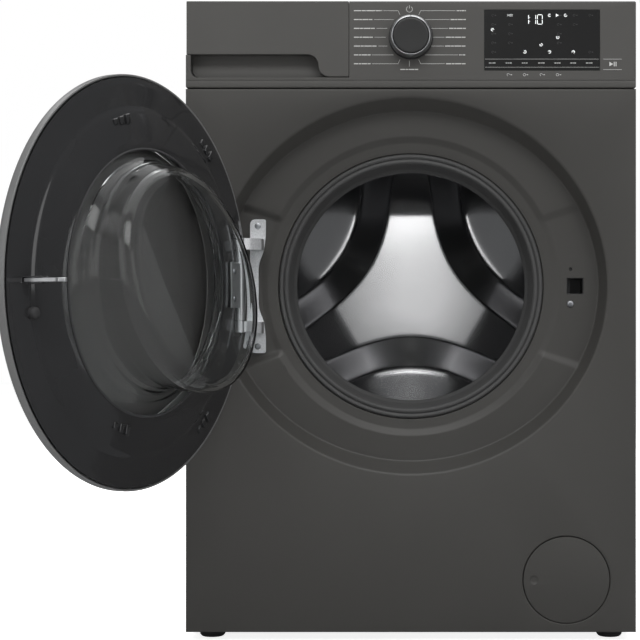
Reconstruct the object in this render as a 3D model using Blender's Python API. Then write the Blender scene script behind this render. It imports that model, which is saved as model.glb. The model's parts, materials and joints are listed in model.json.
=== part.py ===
"""A front loading washing machine: its cabinet, suspended tub, drum, drive, pump, drawer, knob and door.

The origin is the centre of the base tray's underside. X runs to the right, Y to the back and Z up.
The door stands open, as it does while the machine is loaded.
"""

import math

import bmesh
import bpy
from mathutils import Matrix, Vector

# Driving dimensions, in metres.
HALF_WIDTH = 0.299
FRONT = -0.280
REAR = 0.280
TOP = 0.838
SEAM = -0.256           # where the front mouldings end and the side walls begin
FRONT_PANEL_TOP = 0.7216
CONSOLE_BOTTOM = 0.7229
SHEET = 0.001           # thickness of the steel sheets
FIT = 0.0003            # gap between pieces that touch

AXIS_Z = 0.460          # height of the drum's, the tub's and the closed door's axis
DRUM_RADIUS = 0.2355
DRUM_FRONT = -0.172
DRUM_REAR = 0.141
STAR_RISE = 0.0265      # how far the drum's back stands forward in its middle
STAR_HALF = 0.0265      # half the width of an arm of the star
STAR_BLEND = 0.053
STAR_DEPTH = 0.0185     # the step from the star down to the dishes
FLANK = 0.040
DISH_SLOPE = 0.17
ARM_BEND = 0.100        # from here out the star's arms fall back
ARM_SLOPE = 0.14
TUB_RADIUS = 0.2555
PULLEY_RADIUS = 0.150
PULLEY_Y = (0.2225, 0.2385)
MOTOR_AXIS = (-0.080, 0.150)
MOTOR_PULLEY_RADIUS = 0.0105

DOOR_RADIUS = 0.2505
DOOR_HINGE = (-0.2265, -0.2885)
DOOR_OPEN_DEGREES = 116.0
RIM_PLANE = -0.292      # the door's inner edge when it is shut
LATCH_X = 0.2209
LATCH_SIZE = 0.0225
HOOK_REACH = 0.0610     # how far the hook stands out of the rim's plane

KNOB_Z = 0.790
KNOB_RADIUS = 0.028
FLAP_CENTRE = (0.2066, 0.0696)
FLAP_RADIUS = 0.0573
FOOT_X = 0.268
FOOT_Y = 0.235
FOOT_HEIGHT = 0.012
SPRING_X = 0.245
SPRING_Y = 0.060
DAMPER_X = 0.215
DAMPER_Y = 0.030
DRAWER_LEFT = -0.298
DRAWER_RIGHT = -0.0823
TRAY_UNDERSIDE = 0.0012 # the base tray's floor stands clear of the feet; its middle pad is at zero
LIFTER_DEGREES = (30, 150, 270)
DISPENSER = (-0.190, -0.060)    # where the drawer's water falls into the tub, seen from above
VALVE_PORTS = (0.216, 0.256)
VALVE_Z = 0.765
GLAND = (-0.245, 0.745)

RECESS_FLOOR = -0.2520
POCKET_DEGREES = 27.0   # half of the angle that the hinge pocket and the latch pocket each take up
HINGE_SIDE, LATCH_SIDE = 180.0, 0.0
POCKET_FLOOR = {LATCH_SIDE: -0.2490, HINGE_SIDE: -0.2445}

BIG = 32                # sides of the large round pieces
MEDIUM = 16
SMALL = 12
SMOOTH_DEGREES = 30.0   # edges sharper than this stay sharp


# ---------------------------------------------------------------- tools

def clear_scene():
    for obj in list(bpy.data.objects):
        bpy.data.objects.remove(obj, do_unlink=True)


def smooth_group():
    """Geometry nodes that shade faces smooth and leave the sharp edges sharp."""
    group = bpy.data.node_groups.new("smooth_by_angle", "GeometryNodeTree")
    for side in ("INPUT", "OUTPUT"):
        group.interface.new_socket("Geometry", in_out=side, socket_type="NodeSocketGeometry")
    start, end = group.nodes.new("NodeGroupInput"), group.nodes.new("NodeGroupOutput")
    faces = group.nodes.new("GeometryNodeSetShadeSmooth")
    edges = group.nodes.new("GeometryNodeSetShadeSmooth")
    edges.domain = "EDGE"
    edges.inputs["Shade Smooth"].default_value = False
    angle = group.nodes.new("GeometryNodeInputMeshEdgeAngle")
    sharp = group.nodes.new("FunctionNodeCompare")
    sharp.operation = "GREATER_THAN"
    sharp.inputs[1].default_value = math.radians(SMOOTH_DEGREES)
    group.links.new(start.outputs[0], faces.inputs["Geometry"])
    group.links.new(faces.outputs[0], edges.inputs["Geometry"])
    group.links.new(angle.outputs["Unsigned Angle"], sharp.inputs[0])
    group.links.new(sharp.outputs[0], edges.inputs["Selection"])
    group.links.new(edges.outputs[0], end.inputs[0])
    return group


def shade_round_faces():
    group = smooth_group()
    for obj in bpy.data.objects:
        if obj.type == "MESH" and not obj.hide_render:
            obj.modifiers.new("smooth", "NODES").node_group = group


def linear(level):
    """A display level from 0 to 255 as the linear value that a shader takes."""
    share = level / 255.0
    return share / 12.92 if share <= 0.04045 else ((share + 0.055) / 1.055) ** 2.4


def material(name, levels, roughness, metallic=0.0):
    made = bpy.data.materials.new(name)
    made.use_nodes = True
    shader = made.node_tree.nodes["Principled BSDF"]
    shader.inputs["Base Color"].default_value = (*[linear(v) for v in levels], 1.0)
    shader.inputs["Roughness"].default_value = roughness
    shader.inputs["Metallic"].default_value = metallic
    made.diffuse_color = (*[linear(v) for v in levels], 1.0)
    return made


def add_object(name, points, faces, look=None, origin=(0.0, 0.0, 0.0)):
    """A closed mesh object whose origin is at the given place; the points are in world space."""
    mesh = bpy.data.meshes.new(name)
    local = [tuple(Vector(p) - Vector(origin)) for p in points]
    mesh.from_pydata(local, [], faces)
    shape = bmesh.new()
    shape.from_mesh(mesh)
    bmesh.ops.remove_doubles(shape, verts=shape.verts, dist=1e-6)
    bmesh.ops.recalc_face_normals(shape, faces=shape.faces)
    shape.to_mesh(mesh)
    shape.free()
    obj = bpy.data.objects.new(name, mesh)
    obj.location = origin
    bpy.context.scene.collection.objects.link(obj)
    if look:
        mesh.materials.append(look)
    return obj


def loft(name, rings, look=None, origin=(0.0, 0.0, 0.0), wrap=False):
    """A closed surface through rings of points. A ring of one point is a pole; open ends get a cap."""
    points, starts, faces = [], [], []
    for ring in rings:
        starts.append(len(points))
        points.extend(ring)
    pairs = list(range(len(rings) - 1))
    for i in pairs + ([len(rings) - 1] if wrap else []):
        first, second = i, (i + 1) % len(rings)
        count = max(len(rings[first]), len(rings[second]))
        for k in range(count):
            n = (k + 1) % count
            a = [starts[first] + (k if len(rings[first]) > 1 else 0)]
            b = [starts[second] + (k if len(rings[second]) > 1 else 0)]
            if len(rings[first]) > 1:
                a.append(starts[first] + n)
            if len(rings[second]) > 1:
                b.append(starts[second] + n)
            if len(a) + len(b) > 2:
                faces.append(a + b[::-1])
    if not wrap:
        for i in (0, len(rings) - 1):
            if len(rings[i]) > 1:
                faces.append([starts[i] + k for k in range(len(rings[i]))])
    return add_object(name, points, faces, look, origin)


def turn_ring(radius, along, sides, centre, axis):
    """Points of one circle about an axis through the centre; along is the world coordinate on that axis."""
    if radius < 1e-7:
        steps = [0.0]
    else:
        steps = [2 * math.pi * k / sides for k in range(sides)]
    ring = []
    for a in steps:
        u, v = radius * math.cos(a), radius * math.sin(a)
        if axis == "Y":
            ring.append((centre[0] + u, along, centre[1] + v))
        elif axis == "Z":
            ring.append((centre[0] + u, centre[1] + v, along))
        else:
            ring.append((along, centre[0] + u, centre[1] + v))
    return ring


def turned(name, profile, look=None, centre=(0.0, AXIS_Z), axis="Y", sides=MEDIUM, wrap=False, origin=None):
    """A turned piece. Its profile holds (radius, place along the axis) pairs."""
    rings = [turn_ring(r, along, sides, centre, axis) for r, along in profile]
    if origin is None:
        middle = sum(along for _, along in profile) / len(profile)
        origin = turn_ring(0.0, middle, 1, centre, axis)[0]
    return loft(name, rings, look, origin, wrap)


def rod(name, radius, ends, look=None, centre=(0.0, AXIS_Z), axis="Y", sides=MEDIUM):
    return turned(name, [(radius, ends[0]), (radius, ends[1])], look, centre, axis, sides)


def tube(name, outer, inner, ends, look=None, centre=(0.0, AXIS_Z), axis="Y", sides=MEDIUM):
    profile = [(outer, ends[0]), (outer, ends[1]), (inner, ends[1]), (inner, ends[0])]
    return turned(name, profile, look, centre, axis, sides, wrap=True)


def box(name, low, high, look=None):
    (x0, y0, z0), (x1, y1, z1) = low, high
    lower = [(x0, y0, z0), (x1, y0, z0), (x1, y1, z0), (x0, y1, z0)]
    upper = [(x, y, z1) for x, y, _ in lower]
    middle = tuple((a + b) / 2 for a, b in zip(low, high))
    return loft(name, [lower, upper], look, middle)


def slab(name, outline, depth, look=None):
    """An outline of (x, z) points extruded along Y between two depths."""
    rings = [[(x, y, z) for x, z in outline] for y in depth]
    count = len(outline)
    middle = (sum(p[0] for p in outline) / count, sum(depth) / 2, sum(p[1] for p in outline) / count)
    return loft(name, rings, look, middle)


def stroke(line, thickness):
    """The closed outline of a sheet whose middle follows the line, in (radius, along) pairs."""
    one, other = [], []
    for i, point in enumerate(line):
        before = Vector(line[max(i - 1, 0)])
        after = Vector(line[min(i + 1, len(line) - 1)])
        here = Vector(point)
        first = (here - before).normalized() if i else (after - here).normalized()
        last = (after - here).normalized() if i < len(line) - 1 else first
        mitre = (first + last).normalized()
        normal = Vector((-mitre.y, mitre.x))
        reach = thickness / 2 / max(mitre.dot(first), 0.5)
        one.append(tuple(here + normal * reach))
        other.append(tuple(here - normal * reach))
    return one + other[::-1]


def radial_point(angle, radius, aside, y, centre=(0.0, AXIS_Z)):
    """A point at a radius from an axis along Y and a little aside of the direction given by the angle."""
    x = centre[0] + radius * math.cos(angle) - aside * math.sin(angle)
    return (x, y, centre[1] + radius * math.sin(angle) + aside * math.cos(angle))


def spoke(name, angle, section, ends, centre=(0.0, AXIS_Z)):
    """A bar out from an axis along Y; its section holds (radius, aside) pairs between two depths."""
    rings = [[radial_point(angle, r, w, y, centre) for r, w in section] for y in ends]
    return loft(name, rings)


def swept(name, path, outer, look, inner=None, sides=8):
    """A tube along a path: solid with capped ends, or a hose when it has an inner radius."""
    path = [Vector(p) for p in path]
    heading = (path[1] - path[0]).normalized()
    side = heading.orthogonal().normalized()
    rings = {outer: [], inner: []}
    for i, here in enumerate(path):
        ahead = (path[min(i + 1, len(path) - 1)] - path[max(i - 1, 0)]).normalized()
        side = (side - ahead * side.dot(ahead)).normalized()
        other = ahead.cross(side)
        for radius in rings:
            if radius is None:
                continue
            turns = [2 * math.pi * k / sides for k in range(sides)]
            spread = [radius * (side * math.cos(a) + other * math.sin(a)) for a in turns]
            rings[radius].append([tuple(here + offset) for offset in spread])
    if inner is None:
        return loft(name, rings[outer], look, tuple(path[0]))
    return loft(name, rings[outer] + rings[inner][::-1], look, tuple(path[0]), wrap=True)


def combine(target, tool, operation):
    """Joins or cuts the target with a hidden helper."""
    tool.hide_render = True
    tool.display_type = "WIRE"
    modifier = target.modifiers.new(tool.name, "BOOLEAN")
    modifier.operation = operation
    modifier.object = tool
    modifier.solver = "EXACT"


def add(target, *tools):
    for tool in tools:
        combine(target, tool, "UNION")


def cut(target, *tools):
    for tool in tools:
        combine(target, tool, "DIFFERENCE")


def soften(obj, width, segments=2):
    bevel = obj.modifiers.new("edges", "BEVEL")
    bevel.width = width
    bevel.segments = segments
    bevel.limit_method = "ANGLE"


def arc(centre, radius, start, end, steps):
    """Points on an arc between two angles in degrees."""
    angles = [math.radians(start + (end - start) * k / steps) for k in range(steps + 1)]
    return [(centre[0] + radius * math.cos(a), centre[1] + radius * math.sin(a)) for a in angles]


def hang(obj, pivot):
    """Hangs an object, modelled in its shut position, on a pivot that is already placed and turned."""
    helpers = [modifier.object for modifier in obj.modifiers if modifier.type == "BOOLEAN"]
    for piece in [obj, *helpers]:
        piece.parent = pivot
        piece.matrix_parent_inverse = Matrix.Translation(-pivot.location)


# ---------------------------------------------------------------- looks

def make_looks():
    return {
        "panel": material("painted_steel_graphite", (72, 70, 67), 0.45, 0.2),
        "console": material("console_plastic", (89, 88, 86), 0.5),
        "drawer": material("drawer_plastic", (92, 91, 89), 0.5),
        "black": material("black_plastic", (26, 26, 27), 0.4),
        "gloss": material("gloss_black", (14, 14, 15), 0.12),
        "glass": material("clear_glass", (120, 124, 126), 0.05),
        "rubber": material("grey_rubber", (75, 75, 76), 0.6),
        "dark_rubber": material("black_rubber", (22, 22, 23), 0.8),
        "stainless": material("stainless_steel", (196, 197, 199), 0.28, 1.0),
        "zinc": material("zinc_plated_steel", (170, 172, 176), 0.4, 1.0),
        "cast": material("cast_aluminium", (150, 152, 155), 0.5, 0.9),
        "tub": material("tub_plastic", (196, 198, 196), 0.55),
        "concrete": material("concrete", (150, 147, 140), 0.9),
        "white": material("white_plastic", (216, 217, 216), 0.5),
        "board": material("circuit_board", (26, 74, 44), 0.5),
        "ring": material("satin_ring", (176, 177, 179), 0.3, 0.8),
        "galvanised": material("galvanised_steel", (142, 146, 150), 0.45, 0.8),
    }


# ---------------------------------------------------------------- cabinet

def cabinet_shell(looks):
    """Both side walls, the back wall and the folded top edge, from one sheet."""
    inside = HALF_WIDTH - SHEET
    wall_top = 0.812
    low, high = (-HALF_WIDTH, SEAM + FIT, FIT), (HALF_WIDTH, REAR, wall_top)
    shell = box("cabinet_shell", low, high, looks["galvanised"])
    cut(shell, box("shell_hollow", (-inside, -0.35, -0.02), (inside, REAR - SHEET, wall_top - SHEET)))
    cut(shell, box("shell_top_opening", (-0.283, -0.226, 0.79), (0.283, 0.264, 0.83)))
    cut(shell, box("shell_rear_opening", (-0.210, 0.262, 0.120), (0.210, 0.300, 0.700)))
    for i, x in enumerate(VALVE_PORTS):
        cut(shell, rod(f"valve_hole_{i}", 0.0142, (0.26, 0.30), centre=(x, VALVE_Z), sides=SMALL))
    cut(shell, rod("gland_hole", 0.0095, (0.26, 0.30), centre=GLAND, sides=SMALL))
    for side in (-1, 1):
        ends = sorted((side * 0.232, side * (HALF_WIDTH - SHEET / 2)))
        low = (ends[0], SPRING_Y - 0.012, 0.758)
        high = (ends[1], SPRING_Y + 0.012, 0.762)
        add(shell, box(f"spring_tab_{side}", low, high))


def panel_angles():
    """Directions in degrees from the drum's axis at which the front is drawn, with each side's middle."""
    low = math.degrees(math.atan2(-AXIS_Z, HALF_WIDTH))
    high = math.degrees(math.atan2(FRONT_PANEL_TOP - AXIS_Z, HALF_WIDTH))
    corners = [low, high, 180 - high, 180 - low, 360 + low]
    middles = (LATCH_SIDE, 90.0, HINGE_SIDE, 270.0)
    steps = (12, 10, 12, 9)
    found = []
    for middle, count, start, end in zip(middles, steps, corners, corners[1:]):
        angles = {start + (end - start) * k / count for k in range(count)}
        if middle in POCKET_FLOOR:
            angles = {a for a in angles if abs(abs(a - middle) - POCKET_DEGREES) > 2.0}
            angles |= {middle + s * (POCKET_DEGREES + d) for s in (-1, 1) for d in (-0.6, 0.6)}
        found += [(a, middle) for a in sorted(angles)]
    return found


def rectangle_point(angle, middle, inset, y):
    """Where a direction meets the panel's edge, moved in by the inset."""
    a = math.radians(angle)
    if middle in POCKET_FLOOR:
        x = HALF_WIDTH if middle == LATCH_SIDE else -HALF_WIDTH
        z = AXIS_Z + math.tan(a) * x
    else:
        z = FRONT_PANEL_TOP if middle == 90.0 else 0.0
        x = (z - AXIS_Z) / math.tan(a)
    x = max(-HALF_WIDTH + inset, min(HALF_WIDTH - inset, x))
    z = max(inset, min(FRONT_PANEL_TOP - inset, z))
    return (x, y, z)


def front_panel(looks):
    """The painted front: a sheet with folded edges, an oval recess, two pockets and the door opening."""
    angles = panel_angles()

    def edge(inset, y):
        return [rectangle_point(a, middle, inset, y) for a, middle in angles]

    def oval(across, up, y):
        turns = [math.radians(a) for a, _ in angles]
        return [(across * math.cos(t), y, AXIS_Z + up * math.sin(t)) for t in turns]

    def floor_y(angle, middle):
        in_pocket = middle in POCKET_FLOOR and abs(angle - middle) < POCKET_DEGREES
        return POCKET_FLOOR[middle] if in_pocket else RECESS_FLOOR

    def floor_oval(across, up, shift):
        turns = [(math.radians(a), floor_y(a, middle)) for a, middle in angles]
        return [(across * math.cos(t), y + shift, AXIS_Z + up * math.sin(t)) for t, y in turns]

    rings = [
        edge(0.0, FRONT), oval(0.2625, 0.2515, FRONT), oval(0.2605, 0.2495, -0.2785),
        floor_oval(0.2530, 0.2350, 0.0), floor_oval(0.2010, 0.2010, 0.0),
        oval(0.1925, 0.1925, -0.2470), oval(0.1800, 0.1800, -0.2465), oval(0.1780, 0.1780, -0.2400),
        oval(0.1790, 0.1790, -0.2400), oval(0.1808, 0.1808, -0.2455), oval(0.1922, 0.1922, -0.2460),
        floor_oval(0.2008, 0.2008, SHEET), floor_oval(0.2540, 0.2360, SHEET),
        oval(0.2617, 0.2507, -0.2775), oval(0.2637, 0.2527, FRONT + SHEET),
        edge(SHEET, FRONT + SHEET), edge(SHEET, SEAM), edge(0.0, SEAM),
    ]
    panel = loft("front_panel", rings, looks["panel"], (0.0, FRONT, AXIS_Z), wrap=True)
    half_slot = LATCH_SIZE / 2
    low = (LATCH_X - half_slot, -0.262, AXIS_Z - half_slot)
    high = (LATCH_X + half_slot, -0.235, AXIS_Z + half_slot)
    cut(panel, box("latch_slot", low, high))
    add(panel, rod("flap_cup_outside", 0.0620, (FRONT + SHEET / 2, -0.2600), centre=FLAP_CENTRE, sides=24))
    cut(panel, rod("flap_cup_inside", FLAP_RADIUS + 0.0006, (-0.300, -0.2610), centre=FLAP_CENTRE, sides=24))
    cut(panel, rod("filter_hole", 0.0365, (-0.270, -0.250), centre=FLAP_CENTRE))


def base_tray(looks):
    """The plastic floor pan: a rim, ribs, bosses for the feet and seats for the dampers and the pump."""
    half_x, front, back = 0.2974, SEAM + 0.0015, REAR - SHEET - 0.0005
    wall, floor, rim, buried = 0.003, 0.0042, 0.020, 0.002
    tray = box("base_tray", (-half_x, front, TRAY_UNDERSIDE), (half_x, back, rim), looks["black"])
    hollow_low = (-half_x + wall, front + wall, floor)
    cut(tray, box("tray_hollow", hollow_low, (half_x - wall, back - wall, 0.05)))
    add(tray, box("tray_pad", (-0.200, -0.190, 0.0), (0.200, 0.190, 0.003)))
    for i, x in enumerate((-0.10, 0.0, 0.10)):
        low, high = (x - 0.0015, front + 0.001, buried), (x + 0.0015, back - 0.001, 0.015)
        add(tray, box(f"tray_rib_{i}", low, high))
    for x in (-FOOT_X, FOOT_X):
        for y in (-FOOT_Y, FOOT_Y):
            tag = f"{'r' if x > 0 else 'l'}{'b' if y > 0 else 'f'}"
            boss = rod(f"foot_boss_{tag}", 0.0175, (buried, 0.018), centre=(x, y), axis="Z", sides=SMALL)
            add(tray, boss)
            cut(tray, rod(f"foot_hole_{tag}", 0.0056, (-0.01, 0.03), centre=(x, y), axis="Z", sides=SMALL))
    for side in (-1, 1):
        x = side * DAMPER_X
        low, high = (x - 0.012, DAMPER_Y - 0.012, buried), (x + 0.012, DAMPER_Y + 0.012, 0.050)
        add(tray, box(f"damper_seat_{side}", low, high))
    x, _ = FLAP_CENTRE
    add(tray, box("pump_seat", (x - 0.020, -0.115, buried), (x + 0.020, -0.095, 0.0240)))


def worktop(looks):
    top = box("worktop", (-HALF_WIDTH, SEAM, 0.8125), (HALF_WIDTH, REAR, TOP), looks["console"])
    soften(top, 0.002)


def rear_cover(looks):
    """The service cover over the pulley, with a round dome pressed outwards."""
    low, high = (-0.228, REAR + FIT, 0.102), (0.228, REAR + FIT + SHEET, 0.718)
    cover = box("rear_cover", low, high, looks["galvanised"])
    add(cover, rod("cover_dome", 0.171, (REAR + FIT + SHEET / 2, 0.2890), sides=24))
    cut(cover, rod("cover_dome_hollow", 0.170, (0.270, 0.2880), sides=24))


def cord_gland(looks):
    """The rubber sleeve in the back wall where the mains lead would come out."""
    profile = [
        (0.0090, 0.2640), (0.0090, REAR + FIT), (0.0130, REAR + FIT), (0.0130, 0.2840),
        (0.0070, 0.2900), (0.0038, 0.2900), (0.0038, 0.2640),
    ]
    turned("cord_gland", profile, looks["dark_rubber"], GLAND, sides=SMALL, wrap=True)


def feet(looks):
    nut_top = TRAY_UNDERSIDE - FIT
    profile = [
        (0.0, -FOOT_HEIGHT), (0.0145, -FOOT_HEIGHT), (0.0170, -0.0095), (0.0170, -0.0042),
        (0.0125, -0.0012), (0.0125, nut_top), (0.0050, nut_top), (0.0050, 0.0400), (0.0, 0.0400),
    ]
    places = {
        "foot_front_left": (-FOOT_X, -FOOT_Y), "foot_front_right": (FOOT_X, -FOOT_Y),
        "foot_rear_left": (-FOOT_X, FOOT_Y), "foot_rear_right": (FOOT_X, FOOT_Y),
    }
    for name, place in places.items():
        turned(name, profile, looks["black"], place, "Z", SMALL, origin=(*place, 0.0))


# ---------------------------------------------------------------- console

def scoop_outline(grow):
    """The drawer front with the finger scoop under it, as (x, z) points, grown outwards by a gap."""
    left, low = -0.292 - grow, 0.737 - grow
    corner = arc((left + 0.010, low + 0.010), 0.010, 180, 270, 4)
    return [(-0.305, 0.7672 - grow), (left, 0.7672 - grow), *corner] + [
        (-0.1035, low), (DRAWER_RIGHT + grow, low), (DRAWER_RIGHT + grow, 0.850), (-0.305, 0.850),
    ]


def console(looks):
    """The control panel: a moulded frame, open at the back, with the drawer's mouth at its left."""
    wall = 0.0025
    low, high = (-HALF_WIDTH, FRONT, CONSOLE_BOTTOM), (HALF_WIDTH, SEAM - 0.0005, TOP)
    panel = box("control_panel", low, high, looks["console"])
    hollow_low = (low[0] + wall, FRONT + wall, low[2] + wall)
    cut(panel, box("console_hollow", hollow_low, (high[0] - wall, -0.240, high[2] - wall)))
    add(panel, box("mouth_wall", (-0.2980, -0.2600, 0.7240), (-0.0780, SEAM - 0.0010, 0.8370)))
    cut(panel, slab("drawer_notch", scoop_outline(0.0004), (-0.300, -0.2612)))
    cut(panel, box("drawer_mouth", (-0.2915, -0.270, 0.7385), (-0.0885, -0.240, 0.8080)))
    cut(panel, box("window_opening", (0.0972, -0.290, 0.7457), (0.2511, -0.260, 0.8268)))
    cut(panel, rod("spindle_hole", 0.0042, (-0.290, -0.270), centre=(0.0, KNOB_Z), sides=SMALL))
    box("display_window", (0.0975, -0.2798, 0.7460), (0.2508, -0.2775, 0.8265), looks["gloss"])
    board = box("display_board", (0.0850, -0.2722, 0.7420), (0.2640, -0.2706, 0.8300), looks["board"])
    add(board, box("display_block", (0.1300, -0.2762, 0.7900), (0.2200, -0.2715, 0.8180)))
    add(board, box("key_strip", (0.1050, -0.2762, 0.7500), (0.2450, -0.2715, 0.7600)))
    add(board, box("board_connector", (0.1000, -0.2710, 0.7950), (0.1200, -0.2620, 0.8150)))


def knob(looks):
    profile = [
        (0.0, -0.2985), (0.0225, -0.2985), (0.0235, -0.2975), (0.0235, -0.2806),
        (0.0032, -0.2806), (0.0032, -0.2620), (0.0, -0.2620),
    ]
    turned("knob_body", profile, looks["black"], (0.0, KNOB_Z), sides=24, origin=(0.0, FRONT, KNOB_Z))
    rim = [
        (0.0239, -0.2965), (0.0252, -0.2970), (KNOB_RADIUS, -0.2935), (KNOB_RADIUS, -0.2808),
        (0.0239, -0.2808),
    ]
    turned("knob_ring", rim, looks["ring"], (0.0, KNOB_Z), sides=24, wrap=True, origin=(0.0, FRONT, KNOB_Z))


def drawer_outline():
    """The drawer front's edge: straight above the scoop, then an S-curve down to its right foot."""
    upper, lower = 0.7672, 0.7376
    middle = (upper + lower) / 2
    bend = (upper - lower) / 2
    centre_x = -0.1245
    first = arc((centre_x - bend * 0.9, middle), bend, 90, 10, 5)
    second = arc((centre_x + bend * 1.1, middle), bend, 190, 270, 5)
    corner = arc((DRAWER_RIGHT - 0.002, TOP - 0.002), 0.002, 0, 90, 2)
    return [(DRAWER_LEFT, TOP), (DRAWER_LEFT, upper), *first, *second, (DRAWER_RIGHT, lower), *corner]


def drawer(looks):
    front = slab("drawer_front", drawer_outline(), (FRONT, -0.2618), looks["drawer"])
    cut(front, box("drawer_front_hollow", (-0.2940, -0.2770, 0.7710), (-0.1460, -0.2500, 0.8340)))
    tray = box("drawer_tray", (-0.2865, -0.2590, 0.7455), (-0.0935, -0.0100, 0.8030), looks["white"])
    add(tray, box("tray_face", (-0.2905, -0.2610, 0.7395), (-0.0895, -0.2585, 0.8070)))
    wells = {"main": (-0.2840, -0.2000), "prewash": (-0.1975, -0.1440), "softener": (-0.1415, -0.0960)}
    for name, (left, right) in wells.items():
        floor = 0.7720 if name == "softener" else 0.7485
        cut(tray, box(f"well_{name}", (left, -0.2560, floor), (right, -0.0130, 0.8200)))
    low, high = (-0.2925, -0.2558, 0.7425), (-0.0875, 0.0050, 0.8088)
    housing = box("dispenser_housing", low, high, looks["white"])
    cut(housing, box("housing_hollow", (-0.2895, -0.2700, 0.7443), (-0.0905, 0.0020, 0.8068)))
    add(housing, rod("dispenser_spout", 0.0120, (0.7220, 0.7435), centre=DISPENSER, axis="Z", sides=SMALL))
    cut(housing, rod("dispenser_bore", 0.0095, (0.7100, 0.7450), centre=DISPENSER, axis="Z", sides=SMALL))


# ---------------------------------------------------------------- water and electrics

def inlet_valve(looks):
    body = box("inlet_valve", (0.1980, 0.2300, 0.7480), (0.2740, 0.2700, 0.7830), looks["white"])
    for i, x in enumerate(VALVE_PORTS):
        add(body, rod(f"valve_port_{i}", 0.0132, (0.2690, 0.2960), centre=(x, VALVE_Z), sides=SMALL))
        cut(body, rod(f"valve_bore_{i}", 0.0085, (0.2760, 0.3000), centre=(x, VALVE_Z), sides=SMALL))
        add(body, box(f"valve_coil_{i}", (x - 0.014, 0.2050, 0.7520), (x + 0.014, 0.2310, 0.7800)))


def pump(looks):
    """The drain pump with its filter chamber open to the front, behind the service flap."""
    profile = [
        (0.0450, -0.2597), (0.0450, -0.2557), (0.0345, -0.2557), (0.0345, -0.1520), (0.0440, -0.1500),
        (0.0440, -0.1080), (0.0280, -0.1060), (0.0280, -0.0500), (0.0, -0.0500),
    ]
    inside = [(0.0, -0.1120), (0.0350, -0.1120), (0.0350, -0.1480), (0.0310, -0.1500), (0.0310, -0.2597)]
    housing = turned("pump_housing", inside + profile, looks["white"], FLAP_CENTRE)
    x, z = FLAP_CENTRE
    place = (x, -0.170)
    add(housing, rod("pump_inlet", 0.0115, (z + 0.030, 0.140), centre=place, axis="Z", sides=SMALL))
    cut(housing, rod("pump_inlet_bore", 0.0090, (z + 0.002, 0.150), centre=place, axis="Z", sides=SMALL))
    place = (-0.128, z + 0.024)
    add(housing, rod("pump_outlet", 0.0110, (x - 0.090, x - 0.030), centre=place, axis="X", sides=SMALL))
    outlet = rod("pump_outlet_bore", 0.0085, (x - 0.100, x - 0.010), centre=place, axis="X", sides=SMALL)
    cut(housing, outlet)


def impeller(looks):
    profile = [(0.0, -0.1385), (0.0090, -0.1385), (0.0090, -0.1145), (0.0, -0.1145)]
    wheel = turned("pump_impeller", profile, looks["black"], FLAP_CENTRE, sides=SMALL)
    blades = 4
    for k in range(blades):
        a = 2 * math.pi * k / blades
        section = ((0.004, -0.001), (0.027, -0.001), (0.027, 0.001), (0.004, 0.001))
        add(wheel, spoke(f"impeller_blade_{k}", a, section, (-0.1370, -0.1180), FLAP_CENTRE))


def pump_filter(looks):
    """The filter's cap with a grip across it, and the slotted basket behind the cap."""
    x, z = FLAP_CENTRE
    sleeve = [
        (0.0, -0.2705), (0.0330, -0.2705), (0.0340, -0.2695), (0.0340, -0.2603), (0.0302, -0.2603),
        (0.0302, -0.2350), (0.0270, -0.2330), (0.0270, -0.1560), (0.0245, -0.1560), (0.0245, -0.2450),
        (0.0, -0.2450),
    ]
    basket = turned("pump_filter", sleeve, looks["black"], FLAP_CENTRE, origin=(x, -0.2605, z))
    add(basket, box("filter_grip", (x - 0.0270, -0.2762, z - 0.0045), (x + 0.0270, -0.2700, z + 0.0045)))
    length, narrow, wide = 0.018, 0.012, 0.035
    for k, y in enumerate((-0.225, -0.195)):
        cut(basket, box(f"basket_slot_{k}", (x - wide, y, z - narrow), (x + wide, y + length, z + narrow)))
        cut(basket, box(f"basket_gap_{k}", (x - narrow, y, z - wide), (x + narrow, y + length, z + wide)))


def service_flap(looks):
    """The round flap over the pump filter, hinged at its right edge, with a finger dimple at its left."""
    x, z = FLAP_CENTRE
    flap = rod("service_flap", FLAP_RADIUS, (FRONT, -0.2775), looks["panel"], FLAP_CENTRE, sides=24)
    cut(flap, rod("finger_dimple", 0.0060, (-0.290, -0.2788), centre=(x - 0.043, z), sides=SMALL))
    pivot = (x + FLAP_RADIUS - 0.0005, FRONT, z)
    flap.data.transform(Matrix.Translation(flap.location - Vector(pivot)))
    flap.location = pivot


def control_module(looks):
    module = box("control_module", (0.2180, -0.2050, 0.6450), (0.2950, -0.0200, 0.7450), looks["white"])
    soften(module, 0.003)
    for k in range(3):
        y = -0.180 + 0.055 * k
        cut(module, box(f"module_socket_{k}", (0.2100, y, 0.6600), (0.2240, y + 0.030, 0.6720)))


def door_lock(looks):
    lock = box("door_lock", (0.2030, -0.2472, 0.4250), (0.2440, -0.2190, 0.4950), looks["black"])
    half = LATCH_SIZE / 2 - 0.00125
    low, high = (LATCH_X - half, -0.260, AXIS_Z - half), (LATCH_X + half, -0.2215, AXIS_Z + half)
    cut(lock, box("lock_slot", low, high))


# ---------------------------------------------------------------- tub

def door_seal(looks):
    """The rubber bellows between the front panel's opening and the tub's mouth."""
    line = [
        (0.1755, -0.2445), (0.1655, -0.2335), (0.1605, -0.2245), (0.1552, -0.2195), (0.1560, -0.2155),
        (0.1690, -0.2265), (0.1745, -0.2270), (0.1745, -0.2010),
    ]
    turned("door_seal", stroke(line, 0.0026), looks["rubber"], sides=BIG, wrap=True)
    wire = arc((0.1750, -0.2480), 0.0014, 0, 270, 3)
    turned("door_seal_clamp", wire, looks["zinc"], sides=BIG, wrap=True)


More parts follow.
